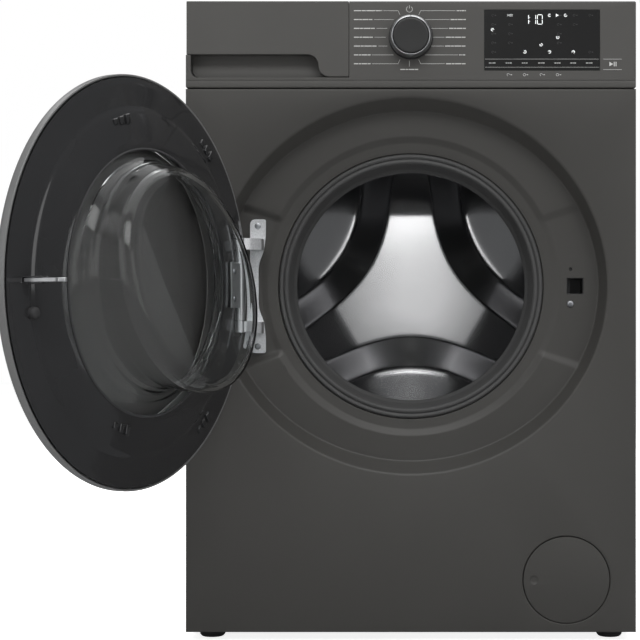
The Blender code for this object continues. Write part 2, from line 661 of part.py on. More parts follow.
def tub(looks):
    front = [
        (0.1590, -0.2100), (0.1625, -0.2100), (0.1625, -0.1915), (0.2490, -0.1890), (TUB_RADIUS, -0.1820),
        (TUB_RADIUS, -0.0340), (0.2620, -0.0340), (0.2620, -0.0270), (0.2525, -0.0270),
        (0.2525, -0.1805), (0.2480, -0.1855), (0.1590, -0.1880),
    ]
    first = turned("tub_front", front, looks["tub"], sides=BIG, wrap=True)
    add(first, rod("tub_inlet", 0.0138, (0.6260, 0.6600), centre=DISPENSER, axis="Z", sides=SMALL))
    cut(first, rod("tub_inlet_bore", 0.0110, (0.6000, 0.6700), centre=DISPENSER, axis="Z", sides=SMALL))
    sump = (0.120, -0.170)
    add(first, rod("tub_outlet", 0.0150, (0.1980, 0.2360), centre=sump, axis="Z", sides=SMALL))
    cut(first, rod("tub_outlet_bore", 0.0120, (0.1900, 0.2450), centre=sump, axis="Z", sides=SMALL))
    rear = [
        (0.2620, -0.0267), (0.2620, -0.0200), (TUB_RADIUS, -0.0200), (TUB_RADIUS, 0.1600), (0.2490, 0.1695),
        (0.0400, 0.1695), (0.0400, 0.2150), (0.0265, 0.2150), (0.0265, 0.1957), (0.0200, 0.1957),
        (0.0200, 0.1900), (0.0315, 0.1900), (0.0315, 0.1625), (0.0600, 0.1625), (0.0620, 0.1665),
        (0.2475, 0.1665), (0.2525, 0.1590), (0.2525, -0.0267),
    ]
    second = turned("tub_rear", rear, looks["tub"], sides=BIG, wrap=True)
    cut(second, box("heater_port", (-0.0300, 0.150, 0.2125), (0.0300, 0.190, 0.2325)))
    for side in (-1, 1):
        ends = sorted((side * 0.2400, side * 0.2500))
        low, high = (ends[0], SPRING_Y - 0.010, 0.5400), (ends[1], SPRING_Y + 0.010, 0.5890)
        add(second, box(f"spring_lug_{side}", low, high))
        ends = sorted((side * 0.2090, side * 0.2250))
        low, high = (ends[0], DAMPER_Y - 0.010, 0.3000), (ends[1], DAMPER_Y + 0.010, 0.3220)
        add(second, box(f"damper_lug_{side}", low, high))
    rib_count = 8
    for k in range(rib_count):
        a = 2 * math.pi * (k + 0.5) / rib_count
        if abs(math.cos(a)) < 0.3 and math.sin(a) < 0:
            continue
        profile = ((0.038, 0.1690), (0.038, 0.2050), (0.100, 0.1850), (0.240, 0.1760), (0.240, 0.1690))
        rings = [[radial_point(a, r, w, y) for r, y in profile] for w in (-0.0015, 0.0015)]
        add(second, loft(f"tub_rib_{k}", rings))


def counterweights(looks):
    ring = tube("front_counterweight", 0.2530, 0.1838, (-0.2150, -0.1925), looks["concrete"], sides=BIG)
    cut(ring, box("weight_gap", (-0.085, -0.250, 0.150), (0.085, -0.150, 0.330)))
    cut(ring, box("outlet_gap", (0.080, -0.250, 0.200), (0.150, -0.150, 0.250)))
    low, high = (-0.0740, -0.0160, 0.7000), (0.1300, 0.1450, 0.7850)
    block = box("top_counterweight", low, high, looks["concrete"])
    cut(block, rod("weight_saddle", 0.2590, (-0.100, 0.200), sides=BIG))


def suspension(looks):
    for side, tag in ((-1, "left"), (1, "right")):
        x = side * SPRING_X
        turns, coil, wire = 7, 0.0085, 0.0016
        low, high = 0.5893 + wire, 0.7577 - wire
        steps = turns * 8
        path = []
        for k in range(steps + 1):
            a, share = 2 * math.pi * k / 8, k / steps
            path.append((x + coil * math.cos(a), SPRING_Y + coil * math.sin(a), low + (high - low) * share))
        swept(f"tub_spring_{tag}", path, wire, looks["zinc"], sides=5)
        x = side * DAMPER_X
        profile = [
            (0.0, 0.0503), (0.0130, 0.0503), (0.0130, 0.2150), (0.0070, 0.2150), (0.0070, 0.1200),
            (0.0, 0.1200),
        ]
        turned(f"damper_cylinder_{tag}", profile, looks["black"], (x, DAMPER_Y), "Z", SMALL)
        rod(f"damper_rod_{tag}", 0.0060, (0.1550, 0.2997), looks["zinc"], (x, DAMPER_Y), "Z", SMALL)


def hoses(looks):
    low, high, count = 0.6500, 0.7340, 12
    pleats = [(0.0170 + 0.0012 * (k % 2), low + (high - low) * k / count) for k in range(count + 1)]
    bore = [(0.0147, high), (0.0147, low)]
    turned("dispenser_hose", pleats + bore, looks["dark_rubber"], DISPENSER, "Z", SMALL, wrap=True)
    start, end = Vector((0.120, -0.170, 0.2120)), Vector((FLAP_CENTRE[0], -0.170, 0.1180))
    upper, lower, steps = 0.194, 0.136, 8
    path = [start]
    for k in range(steps + 1):
        t = k / steps
        share = t * t * (3 - 2 * t)
        path.append(Vector((start.x + (end.x - start.x) * share, start.y, upper + (lower - upper) * t)))
    path.append(end)
    swept("sump_hose", path, 0.0186, looks["dark_rubber"], inner=0.0166)


def heater(looks):
    """A looped element under the drum, on a plug in the tub's back wall."""
    z, reach, half = 0.2165, -0.100, 0.018
    path = [(-half, 0.196, z), (-half, 0.14, z), (-half, 0.04, z), (-half, reach + half, z)]
    path += [(-x, y, z) for x, y in arc((0.0, reach + half), half, 0, -180, 8)[1:-1]]
    path += [(half, reach + half, z), (half, 0.04, z), (half, 0.14, z), (half, 0.196, z)]
    element = swept("heater", path, 0.0035, looks["stainless"], sides=8)
    add(element, box("heater_plug", (-0.0297, 0.1620, 0.2128), (0.0297, 0.1760, 0.2322)))


# ---------------------------------------------------------------- drum and drive

def drum(looks):
    wall = [
        (0.1590, DRUM_FRONT + 0.0040), (0.1600, DRUM_FRONT - 0.0020), (0.2230, DRUM_FRONT),
        (DRUM_RADIUS, DRUM_FRONT + 0.0100), (DRUM_RADIUS, DRUM_REAR),
    ]
    turned("drum_shell", stroke(wall, 0.0010), looks["stainless"], sides=BIG, wrap=True)
    drum_back(looks)
    for k, degrees in enumerate(LIFTER_DEGREES):
        lifter(f"drum_lifter_{k + 1}", math.radians(degrees), looks)


def ramp(value, ease):
    """Zero below zero and the value itself above, with a rounded corner."""
    return (value + math.sqrt(value * value + ease * ease)) / 2


def emboss(radius, angle):
    """How far the drum's back is pressed forward: a three-armed star with bent arms, between dishes."""
    third = 2 * math.pi / 3
    from_dish = (angle - math.pi / 6 + third / 2) % third - third / 2
    from_arm = math.pi / 3 - abs(from_dish)
    reaches = [radius * math.sin(math.pi / 3 + s * from_dish) for s in (-1, 1)]
    nearest = -STAR_BLEND * math.log(sum(math.exp(-reach / STAR_BLEND) for reach in reaches))
    past = nearest - STAR_HALF
    flank = ramp(past, 0.001) - ramp(past - FLANK, 0.004)
    rise = ramp(past - FLANK, 0.012)
    bend = ramp(radius * math.cos(from_arm) - ARM_BEND, 0.015)
    drop = STAR_DEPTH * flank / FLANK - DISH_SLOPE * rise + ARM_SLOPE * bend
    fade = max(0.0, min(1.0, (0.229 - radius) / 0.030))
    return (STAR_RISE - drop) * fade * fade * (3 - 2 * fade)


def drum_back(looks):
    radii = (0.030, 0.055, 0.080, 0.095, 0.110, 0.125, 0.145, 0.165, 0.190, 0.205, 0.218, 0.2336)
    sides = 48
    turns = [2 * math.pi * k / sides for k in range(sides)]
    plane = DRUM_REAR - 0.002
    sheets = []
    for shift in (-SHEET, 0.0):
        rings = [[(0.0, plane - emboss(0.0, 0.0) + shift, AXIS_Z)]]
        for r in radii:
            ring = [(r * math.cos(a), plane + shift - emboss(r, a), AXIS_Z + r * math.sin(a)) for a in turns]
            rings.append(ring)
        sheets.append(rings)
    loft("drum_back", sheets[0] + sheets[1][::-1], looks["stainless"], (0.0, DRUM_REAR, AXIS_Z))


def lifter(name, angle, looks):
    """A hollow-looking paddle on the drum's wall; its section is a rounded wedge."""
    foot, tall, wide = 0.2318, 0.042, 0.027
    rings = []
    ends = ((-0.130, 0.35), (-0.118, 0.85), (-0.095, 1.0), (0.075, 1.0), (0.092, 0.85), (0.102, 0.35))
    for y, scale in ends:
        height, half = tall * scale, wide * scale ** 0.25
        section = [
            (foot, -half), (foot - height * 0.55, -half * 0.62), (foot - height, -half * 0.25),
            (foot - height, half * 0.25), (foot - height * 0.55, half * 0.62), (foot, half),
        ]
        rings.append([radial_point(angle, r, w, y) for r, w in section])
    loft(name, rings, looks["tub"], radial_point(angle, DRUM_RADIUS, 0.0, 0.0))


def spider(looks):
    """The three-armed cast cross with the drum's shaft."""
    profile = [
        (0.0, 0.1425), (0.0450, 0.1425), (0.0450, 0.1540), (0.0250, 0.1600), (0.0178, 0.1605),
        (0.0178, 0.1712),
        (0.0147, 0.1712), (0.0147, 0.1930), (0.0122, 0.1930), (0.0122, 0.2430), (0.0, 0.2430),
    ]
    cross = turned("drum_spider", profile, looks["cast"])
    for k in range(3):
        a = math.pi / 2 + 2 * math.pi * k / 3
        rings = []
        for r, half, depth in ((0.020, 0.026, 0.1570), (0.120, 0.018, 0.1560), (0.2240, 0.013, 0.1520)):
            section = ((-half, 0.1425), (half, 0.1425), (half * 0.8, depth), (-half * 0.8, depth))
            rings.append([radial_point(a, r, w, y) for w, y in section])
        add(cross, loft(f"spider_arm_{k}", rings))


def bearings(looks):
    tube("front_bearing", 0.0312, 0.0150, (0.1722, 0.1882), looks["zinc"])
    tube("rear_bearing", 0.0262, 0.0125, (0.1960, 0.2110), looks["zinc"])
    tube("shaft_seal", 0.0312, 0.0182, (0.1640, 0.1708), looks["dark_rubber"])


def drive(looks):
    y0, y1 = PULLEY_Y
    middle = (y0 + y1) / 2
    rim = tube("drum_pulley", PULLEY_RADIUS, 0.1400, PULLEY_Y, looks["cast"], sides=BIG)
    add(rim, rod("pulley_hub", 0.0260, PULLEY_Y))
    spokes = 5
    for k in range(spokes):
        a = math.pi / 2 + 2 * math.pi * k / spokes
        section = ((0.018, -0.012), (0.1425, -0.008), (0.1425, 0.008), (0.018, 0.012))
        add(rim, spoke(f"pulley_spoke_{k}", a, section, (middle - 0.004, middle + 0.004)))
    cut(rim, rod("pulley_bore", 0.0125, (y0 - 0.01, y1 + 0.01)))
    x, z = MOTOR_AXIS
    shell = [
        (0.0300, 0.0900), (0.0540, 0.0960), (0.0550, 0.1000), (0.0550, 0.1950), (0.0540, 0.1990),
        (0.0300, 0.2050), (0.0066, 0.2050), (0.0066, 0.0900),
    ]
    housing = turned("motor_housing", shell, looks["cast"], MOTOR_AXIS, wrap=True)
    for k, y in enumerate((0.110, 0.175)):
        add(housing, box(f"motor_lug_{k}", (x - 0.020, y, z + 0.045), (x + 0.012, y + 0.010, 0.2115)))
    shaft = [
        (0.0, 0.1000), (0.0060, 0.1000), (0.0060, 0.2220), (MOTOR_PULLEY_RADIUS, 0.2220),
        (MOTOR_PULLEY_RADIUS, 0.2390), (0.0, 0.2390),
    ]
    turned("motor_pulley", shaft, looks["zinc"], MOTOR_AXIS, origin=(x, 0.2305, z))
    belt(looks, middle)


def belt(looks, middle):
    """A flat band round both pulleys, straight between its tangent points."""
    gap, thickness, half_width = 0.0010, 0.0028, 0.0065
    x, z = MOTOR_AXIS
    span = math.hypot(x, z - AXIS_Z)
    towards = math.atan2(z - AXIS_Z, x)
    lean = math.acos((PULLEY_RADIUS - MOTOR_PULLEY_RADIUS) / span)
    rings = []
    for centre, radius, start, end, steps in (
        ((0.0, AXIS_Z), PULLEY_RADIUS, towards + lean, towards - lean + 2 * math.pi, 24),
        ((x, z), MOTOR_PULLEY_RADIUS, towards - lean, towards + lean, 6),
    ):
        for k in range(steps + 1):
            a = start + (end - start) * k / steps
            across = ((radius + gap, -half_width), (radius + gap, half_width),
                      (radius + gap + thickness, half_width), (radius + gap + thickness, -half_width))
            out, up = math.cos(a), math.sin(a)
            rings.append([(centre[0] + r * out, middle + w, centre[1] + r * up) for r, w in across])
    loft("drive_belt", rings, looks["dark_rubber"], (0.0, middle, AXIS_Z), wrap=True)


# ---------------------------------------------------------------- door

def door_pivot():
    pivot = bpy.data.objects.new("door_pivot", None)
    pivot.location = (*DOOR_HINGE, AXIS_Z)
    pivot.rotation_euler = (0.0, 0.0, -math.radians(DOOR_OPEN_DEGREES))
    bpy.context.scene.collection.objects.link(pivot)
    return pivot


def hinge_bracket(looks):
    """The cast bracket on the left pocket's floor; its two arms reach forward and left to the hinge pins."""
    x, y = DOOR_HINGE
    floor = POCKET_FLOOR[HINGE_SIDE] - FIT
    left, right, waist = x + 0.0101, x + 0.0312, x + 0.0215
    upper = [(waist, 0.0300), (right - 0.0022, 0.0480), (right, 0.0680), (right, 0.0900), (left, 0.0900)]
    lower = [(px, -dz) for px, dz in upper[::-1]]
    outline = lower + upper
    outline = [(px, AXIS_Z + dz) for px, dz in outline]
    plate = slab("hinge_bracket", outline, (floor - 0.0035, floor), looks["cast"])
    reach = [
        (x, y + 0.0060), (x + 0.0030, y - 0.0035), (x + 0.0133, y + 0.0021), (x + 0.0290, y + 0.0150),
        (x + 0.0290, floor - 0.0010), (x + 0.0125, floor - 0.0010), (x + 0.0083, y + 0.0156),
    ]
    for k, (low, high) in enumerate(((0.3970, 0.4120), (0.5080, 0.5230))):
        around = {"centre": DOOR_HINGE, "axis": "Z", "sides": SMALL}
        add(plate, loft(f"knuckle_arm_{k}", [[(px, py, z) for px, py in reach] for z in (low, high)]))
        add(plate, rod(f"knuckle_{k}", 0.0065, (low, high), **around))
        cut(plate, rod(f"pin_hole_{k}", 0.0036, (low - 0.01, high + 0.01), **around))


def door(looks):
    pivot = door_pivot()
    ring = [
        (DOOR_RADIUS, RIM_PLANE - 0.0005), (DOOR_RADIUS, RIM_PLANE - 0.0090), (0.2462, RIM_PLANE - 0.0138),
        (0.1720, RIM_PLANE - 0.0158), (0.1720, RIM_PLANE - 0.0130), (0.2448, RIM_PLANE - 0.0112),
        (0.2478, RIM_PLANE - 0.0085), (0.2478, RIM_PLANE - 0.0005),
    ]
    outer = turned("door_outer_ring", ring, looks["gloss"], sides=BIG, wrap=True)
    line = [
        (0.2460, RIM_PLANE - 0.0005), (0.2110, RIM_PLANE + 0.0035), (0.2055, RIM_PLANE + 0.0065),
        (0.1680, RIM_PLANE + 0.0152), (0.1612, RIM_PLANE + 0.0160),
    ]
    inner = turned("door_inner_frame", stroke(line, 0.0025), looks["black"], sides=BIG, wrap=True)
    x, y = DOOR_HINGE
    cut(inner, box("hinge_window", (x - 0.0090, y - 0.03, 0.3925), (x + 0.0140, y + 0.03, 0.5275)))
    bulge = ((0.0, 0.0210), (0.060, 0.0205), (0.110, 0.0190), (0.150, 0.0168), (0.1705, 0.0150))
    dome = stroke([(r, RIM_PLANE - ahead) for r, ahead in bulge], 0.0025)
    dome[0], dome[-1] = (0.0, dome[0][1]), (0.0, dome[-1][1])
    window = turned("door_window", dome, looks["gloss"], sides=BIG)
    pieces = [outer, inner, window, door_glass(looks), hinge_arm(looks), door_hook(looks)]
    for piece in pieces:
        hang(piece, pivot)


def door_glass(looks):
    """The glass bowl: a flange, a neck and a blunt end that leans so that it is deepest at the bottom."""
    def rings(profile):
        made = []
        for radius, depth, lean, lift in profile:
            ring = []
            for k in range(BIG):
                a = 2 * math.pi * k / BIG
                y = RIM_PLANE + depth - lean * math.sin(a)
                ring.append((radius * math.cos(a), y, AXIS_Z + lift + radius * math.sin(a)))
            made.append(ring)
        return made

    outside = [
        (0.1652, 0.0125, 0.0, 0.0), (0.1500, 0.0150, 0.0, 0.0015), (0.1395, 0.0240, 0.001, 0.0060),
        (0.1350, 0.0400, 0.007, 0.0085), (0.1345, 0.0750, 0.022, 0.0040), (0.1310, 0.0850, 0.026, 0.0030),
        (0.1210, 0.0892, 0.0260, 0.0025), (0.0600, 0.0917, 0.0135, 0.0010),
    ]
    inside = [
        (0.1652, 0.0090, 0.0, 0.0), (0.1470, 0.0115, 0.0, 0.0015), (0.1355, 0.0235, 0.001, 0.0060),
        (0.1310, 0.0395, 0.007, 0.0085), (0.1305, 0.0720, 0.022, 0.0040), (0.1270, 0.0805, 0.0255, 0.0030),
        (0.1190, 0.0848, 0.0255, 0.0025), (0.0600, 0.0875, 0.0135, 0.0010),
    ]
    far = [(0.0, RIM_PLANE + 0.0922, AXIS_Z)]
    near = [(0.0, RIM_PLANE + 0.0880, AXIS_Z)]
    shape = [far] + rings(outside)[::-1] + rings(inside) + [near]
    return loft("door_glass", shape, looks["glass"], (0.0, RIM_PLANE, AXIS_Z))


def hinge_arm(looks):
    """The barrel between the bracket's knuckles, with end pins and a leaf screwed to the inner frame."""
    x, y = DOOR_HINGE
    profile = [
        (0.0, 0.3975), (0.0032, 0.3975), (0.0032, 0.4130), (0.0060, 0.4130), (0.0060, 0.5070),
        (0.0032, 0.5070),
        (0.0032, 0.5225), (0.0, 0.5225),
    ]
    arm = turned("door_hinge_arm", profile, looks["cast"], DOOR_HINGE, "Z", SMALL, origin=(x, y, AXIS_Z))
    near, far, thick = RIM_PLANE + 0.0041, RIM_PLANE + 0.0142, 0.0030
    leaf = [(x + 0.002, near), (x + 0.0420, far), (x + 0.0420, far + thick), (x + 0.002, near + thick)]
    add(arm, loft("hinge_leaf", [[(px, py, z) for px, py in leaf] for z in (0.4300, 0.4900)]))
    return arm


def door_hook(looks):
    """The sprung hook on the door's free side that the lock catches."""
    root = (LATCH_X - 0.0050, RIM_PLANE + 0.0110)
    outline = [
        (LATCH_X - 0.0120, RIM_PLANE + 0.0070), (LATCH_X + 0.0030, RIM_PLANE + 0.0052),
        (LATCH_X + 0.0030, RIM_PLANE + 0.0500), (LATCH_X + 0.0060, RIM_PLANE + 0.0540),
        (LATCH_X + 0.0025, RIM_PLANE + HOOK_REACH), (LATCH_X - 0.0020, RIM_PLANE + HOOK_REACH),
        (LATCH_X - 0.0030, RIM_PLANE + 0.0200), (LATCH_X - 0.0120, RIM_PLANE + 0.0140),
    ]
    rings = [[(px, py, z) for px, py in outline] for z in (AXIS_Z - 0.0022, AXIS_Z + 0.0022)]
    return loft("door_hook", rings, looks["zinc"], (*root, AXIS_Z))


def main():
    clear_scene()
    looks = make_looks()
    for make in (
        cabinet_shell, front_panel, base_tray, worktop, rear_cover, cord_gland, feet, console, knob, drawer,
        inlet_valve, pump, impeller, pump_filter, service_flap, control_module, door_lock, door_seal, tub,
        counterweights, suspension, hoses, heater, drum, spider, bearings, drive, hinge_bracket, door,
    ):
        make(looks)
    shade_round_faces()


main()
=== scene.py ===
"""The looks of the front loading washing machine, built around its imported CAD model.

Every size is in metres, in the CAD model's frame: X to the right, Y to the back, Z up, front at -Y.
Door pieces are drawn in the shut position, about the drum's axis, and then turned open about the hinge.
"""

import json
import math

import bmesh
import bpy
from mathutils import Matrix, Vector


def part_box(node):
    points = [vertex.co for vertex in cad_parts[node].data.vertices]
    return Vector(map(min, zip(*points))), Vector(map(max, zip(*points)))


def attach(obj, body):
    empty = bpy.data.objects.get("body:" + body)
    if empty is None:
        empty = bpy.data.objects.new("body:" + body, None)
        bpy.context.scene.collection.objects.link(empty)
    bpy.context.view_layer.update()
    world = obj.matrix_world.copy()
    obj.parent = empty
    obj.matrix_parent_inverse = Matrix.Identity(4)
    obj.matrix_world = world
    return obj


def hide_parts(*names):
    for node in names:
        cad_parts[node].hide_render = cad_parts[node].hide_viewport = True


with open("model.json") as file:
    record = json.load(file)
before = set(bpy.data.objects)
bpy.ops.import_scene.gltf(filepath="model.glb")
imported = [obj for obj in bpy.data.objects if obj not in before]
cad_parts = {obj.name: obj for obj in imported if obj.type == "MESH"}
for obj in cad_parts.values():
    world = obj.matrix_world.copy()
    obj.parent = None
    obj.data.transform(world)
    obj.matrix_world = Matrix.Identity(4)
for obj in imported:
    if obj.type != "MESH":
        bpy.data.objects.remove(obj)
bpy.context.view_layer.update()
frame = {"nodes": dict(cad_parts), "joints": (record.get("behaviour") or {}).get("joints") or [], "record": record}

JOINTS = {joint["name"]: joint for joint in frame["joints"]}
BODY_OF = {node: body for body, nodes in frame["record"]["behaviour"]["bodies"].items() for node in nodes}
SLOT_OF = {row["node"]: row["material_slot"] for row in frame["record"]["subparts"]}

PANEL_LOW, PANEL_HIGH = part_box("front_panel")
CONSOLE_LOW, CONSOLE_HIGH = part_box("control_panel")
SHELL_LOW, SHELL_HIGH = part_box("cabinet_shell")
FRONT = PANEL_LOW.y
HALF_WIDTH = PANEL_HIGH.x
HINGE = Vector(JOINTS["door_swing"]["pos_m"])
AXIS_Z = HINGE.z
OPEN_ANGLE = math.radians(JOINTS["door_swing"]["range_deg"][0])
OPENED = Matrix.Translation(HINGE) @ Matrix.Rotation(OPEN_ANGLE, 4, "Z") @ Matrix.Translation(-HINGE)
RIM = FRONT - 0.012         # the shut door's inner edge
SEAM_GAP = 0.0003
SHEET = 0.001
LATCH = Vector((0.2209, FRONT + 0.028, AXIS_Z))
KNOB = (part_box("knob_ring")[0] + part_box("knob_ring")[1]) / 2
KNOB_MIDDLE = (KNOB.x, KNOB.z)
FLAP = (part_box("service_flap")[0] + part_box("service_flap")[1]) / 2
FLAP_MIDDLE = (FLAP.x, FLAP.z)
ROUND = 128                 # sides of the large round pieces
SMALL = 48


# ---------------------------------------------------------------- materials

def linear(level):
    share = level / 255.0
    return share / 12.92 if share <= 0.04045 else ((share + 0.055) / 1.055) ** 2.4


def shade(levels):
    return (*[linear(v) for v in levels], 1.0)


class Look:
    """A Principled material whose nodes read the object's own coordinates."""

    def __init__(self, name, roughness, metallic=0.0, **sockets):
        self.made = bpy.data.materials.new(name)
        self.made.use_nodes = True
        self.tree = self.made.node_tree
        self.shader = self.tree.nodes["Principled BSDF"]
        self.shader.inputs["Metallic"].default_value = metallic
        self.shader.inputs["Roughness"].default_value = roughness
        for socket, value in sockets.items():
            self.shader.inputs[socket.replace("_", " ")].default_value = value
        self.place = self.node("TexCoord").outputs["Object"]

    def node(self, kind, **settings):
        made = self.tree.nodes.new("ShaderNode" + kind)
        for key, value in settings.items():
            if key in made.inputs:
                made.inputs[key].default_value = value
            else:
                setattr(made, key, value)
        return made

    def link(self, source, target):
        self.tree.links.new(source, target)

    def noise(self, scale, detail=3.0, stretch=None):
        made = self.node("TexNoise", Scale=scale, Detail=detail)
        place = self.place
        if stretch:
            mapping = self.node("Mapping", Scale=stretch)
            self.link(place, mapping.inputs["Vector"])
            place = mapping.outputs["Vector"]
        self.link(place, made.inputs["Vector"])
        return made.outputs["Fac"]

    def blend(self, factor, dark, light, low=0.3, high=0.7):
        """Colours the surface between two shades by a factor."""
        ramp = self.node("ValToRGB")
        ramp.color_ramp.elements[0].position = low
        ramp.color_ramp.elements[0].color = shade(dark)
        ramp.color_ramp.elements[1].position = high
        ramp.color_ramp.elements[1].color = shade(light)
        self.link(factor, ramp.inputs["Fac"])
        self.link(ramp.outputs["Color"], self.shader.inputs["Base Color"])
        return ramp.outputs["Color"]

    def polish(self, factor, low, high):
        """Varies the roughness between two values by a factor."""
        spread = self.node("MapRange")
        spread.inputs["To Min"].default_value = low
        spread.inputs["To Max"].default_value = high
        self.link(factor, spread.inputs["Value"])
        self.link(spread.outputs["Result"], self.shader.inputs["Roughness"])

    def bump(self, height, depth, strength=0.4):
        made = self.node("Bump", Strength=strength, Distance=depth)
        self.link(height, made.inputs["Height"])
        self.link(made.outputs["Normal"], self.shader.inputs["Normal"])


def plain(name, levels, roughness, spread, grain, depth, **sockets):
    """Paint, moulding or rubber: a faint mottle in its colour, and a fine grain in its gloss and surface."""
    look = Look(name, roughness, **sockets)
    look.blend(look.noise(7.0, 4.0), [v - spread for v in levels], [v + spread for v in levels])
    fine = look.noise(grain, 2.0)
    look.polish(fine, roughness - 0.05, roughness + 0.05)
    look.bump(fine, depth)
    return look.made


def metal(name, levels, roughness, stretch, spread, scale, depth):
    """Bare metal with fine scratches along the direction in which the noise is stretched."""
    look = Look(name, roughness, 1.0)
    look.blend(look.noise(scale, 4.0, stretch), [v - spread for v in levels], [v + spread for v in levels])
    cloud = look.noise(18.0, 3.0)
    look.polish(cloud, roughness - 0.06, roughness + 0.08)
    look.bump(look.noise(scale * 2, 2.0, stretch), depth, 0.25)
    return look.made


def circular_steel(name, levels, roughness):
    """Pressed stainless steel, brushed in circles about the drum's axis."""
    look = Look(name, roughness, 1.0)
    split, join, rings = (look.node(kind + "XYZ") for kind in ("Separate", "Combine", "Combine"))
    up = look.node("Math", operation="SUBTRACT")
    up.inputs[1].default_value = AXIS_Z
    radius = look.node("VectorMath", operation="LENGTH")
    fine = look.node("TexNoise", Scale=1400.0, Detail=2.0)
    for source, target in (
            (look.place, split.inputs["Vector"]),
            (split.outputs["Z"], up.inputs[0]),
            (split.outputs["X"], join.inputs["X"]),
            (up.outputs["Value"], join.inputs["Y"]),
            (join.outputs["Vector"], radius.inputs[0]),
            (radius.outputs["Value"], rings.inputs["X"]),
            (rings.outputs["Vector"], fine.inputs["Vector"])):
        look.link(source, target)
    look.blend(fine.outputs["Fac"], [v - 7 for v in levels], [v + 7 for v in levels])
    look.polish(look.noise(9.0), roughness - 0.03, roughness + 0.05)
    look.bump(fine.outputs["Fac"], 0.00002, 0.15)
    return look.made


def concrete(name):
    look = Look(name, 0.9)
    look.blend(look.noise(60.0, 8.0), (118, 115, 108), (158, 155, 147))
    pores = look.node("TexVoronoi", Scale=240.0)
    look.link(look.place, pores.inputs["Vector"])
    look.bump(pores.outputs["Distance"], 0.0006, 0.5)
    return look.made


def circuit_board(name):
    """Green solder mask with lighter tracks."""
    look = Look(name, 0.45)
    tracks = look.node("TexBrick", Scale=90.0)
    for socket, levels in (("Color1", (22, 66, 38)), ("Color2", (18, 56, 32)), ("Mortar", (70, 104, 60))):
        tracks.inputs[socket].default_value = shade(levels)
    tracks.inputs["Mortar Size"].default_value = 0.01
    mapping = look.node("Mapping")
    mapping.inputs["Rotation"].default_value = (math.pi / 2, 0.0, 0.0)
    look.link(look.place, mapping.inputs["Vector"])
    look.link(mapping.outputs["Vector"], tracks.inputs["Vector"])
    look.link(tracks.outputs["Color"], look.shader.inputs["Base Color"])
    look.bump(tracks.outputs["Fac"], 0.0001)
    return look.made


def clear_glass(name):
    """Nearly clear glass. Its low index keeps the bowl from bending what is behind it much."""
    look = Look(name, 0.0, Transmission_Weight=1.0, IOR=1.22, Specular_IOR_Level=0.3)
    look.blend(look.noise(5.0), (246, 249, 249), (252, 253, 253))
    look.bump(look.noise(11.0, 1.0), 0.0001, 0.05)
    return look.made


def lit_ink(name, levels, strength):
    """Lit segments behind the window, or printed ink when the strength is 0."""
    look = Look(name, 0.5)
    colour = look.blend(look.noise(400.0), [v - 12 for v in levels], levels)
    if strength:
        look.link(colour, look.shader.inputs["Emission Color"])
        look.shader.inputs["Emission Strength"].default_value = strength
    return look.made


DULL = {"Specular_IOR_Level": 0.3}
EVEN, BRUSHED = (1.0, 1.0, 1.0), (1.0, 14.0, 1.0)
# Each row: levels, roughness, the mottle's spread, the grain's scale and depth, and other sockets.
PLAIN_LOOKS = {
    "graphite_paint": ((62, 61, 59), 0.48, 1, 1500.0, 0.00003, DULL),
    "galvanised": ((62, 61, 59), 0.5, 2, 1500.0, 0.00003, DULL),       # the cabinet's sheet is painted too
    "console_plastic": ((72, 71, 69), 0.55, 1, 2200.0, 0.00004, DULL),
    "drawer_plastic": ((73, 72, 70), 0.55, 1, 2200.0, 0.00004, DULL),
    "black_plastic": ((30, 30, 31), 0.42, 3, 1800.0, 0.00005, {}),
    "gloss_black": ((16, 16, 17), 0.1, 1, 60.0, 0.00001, {"Coat_Weight": 0.5}),
    "grey_rubber": ((63, 63, 63), 0.66, 3, 1200.0, 0.00006, {}),
    "black_rubber": ((46, 46, 47), 0.75, 4, 1200.0, 0.00008, {}),
    "tub_plastic": ((176, 178, 176), 0.55, 5, 700.0, 0.00008, {}),
    "white_plastic": ((206, 207, 205), 0.48, 3, 1600.0, 0.00004, {}),
    "smoked_window": ((58, 57, 57), 0.38, 2, 1200.0, 0.00003, {}),
    "knob_face": ((44, 44, 44), 0.45, 1, 1500.0, 0.00003, DULL),
    "display_black": ((34, 34, 34), 0.12, 1, 60.0, 0.00001, {}),
    "rim_grey": ((106, 106, 106), 0.32, 2, 900.0, 0.00002, {}),
    "lifter_grey": ((120, 121, 120), 0.5, 3, 700.0, 0.00006, {}),
    "frame_black": ((40, 40, 41), 0.14, 2, 60.0, 0.00001, {"Coat_Weight": 0.3}),
}
# Each row: levels, roughness, the scratches' stretch, the spread, the scratches' scale and depth.
METAL_LOOKS = {
    "zinc": ((170, 172, 176), 0.38, EVEN, 14, 90.0, 0.00003),
    "bright_zinc": ((226, 227, 229), 0.42, EVEN, 8, 90.0, 0.00003),
    "cast_aluminium": ((222, 223, 225), 0.45, EVEN, 12, 500.0, 0.00012),
    "satin_ring": ((176, 177, 179), 0.3, BRUSHED, 6, 260.0, 0.00003),
    # the drum wall's steel is darker than the stainless of the drum's back and mouth: painted shade for the inside
    # of the drum
    "drum_steel": ((150, 150, 152), 0.36, EVEN, 6, 300.0, 0.00003),
}
# Each row: levels and the light's strength.
INK_LOOKS = {
    "ink": ((196, 196, 194), 0.0),
    "faint_ink": ((62, 62, 62), 0.0),
    "lit": ((236, 238, 238), 0.8),
}
FULL_NAMES = {"galvanised": "graphite_paint_sides", "zinc": "zinc_plated_steel",
              "drum_steel": "punched_steel", "ink": "printed_ink", "lit": "lit_segments"}


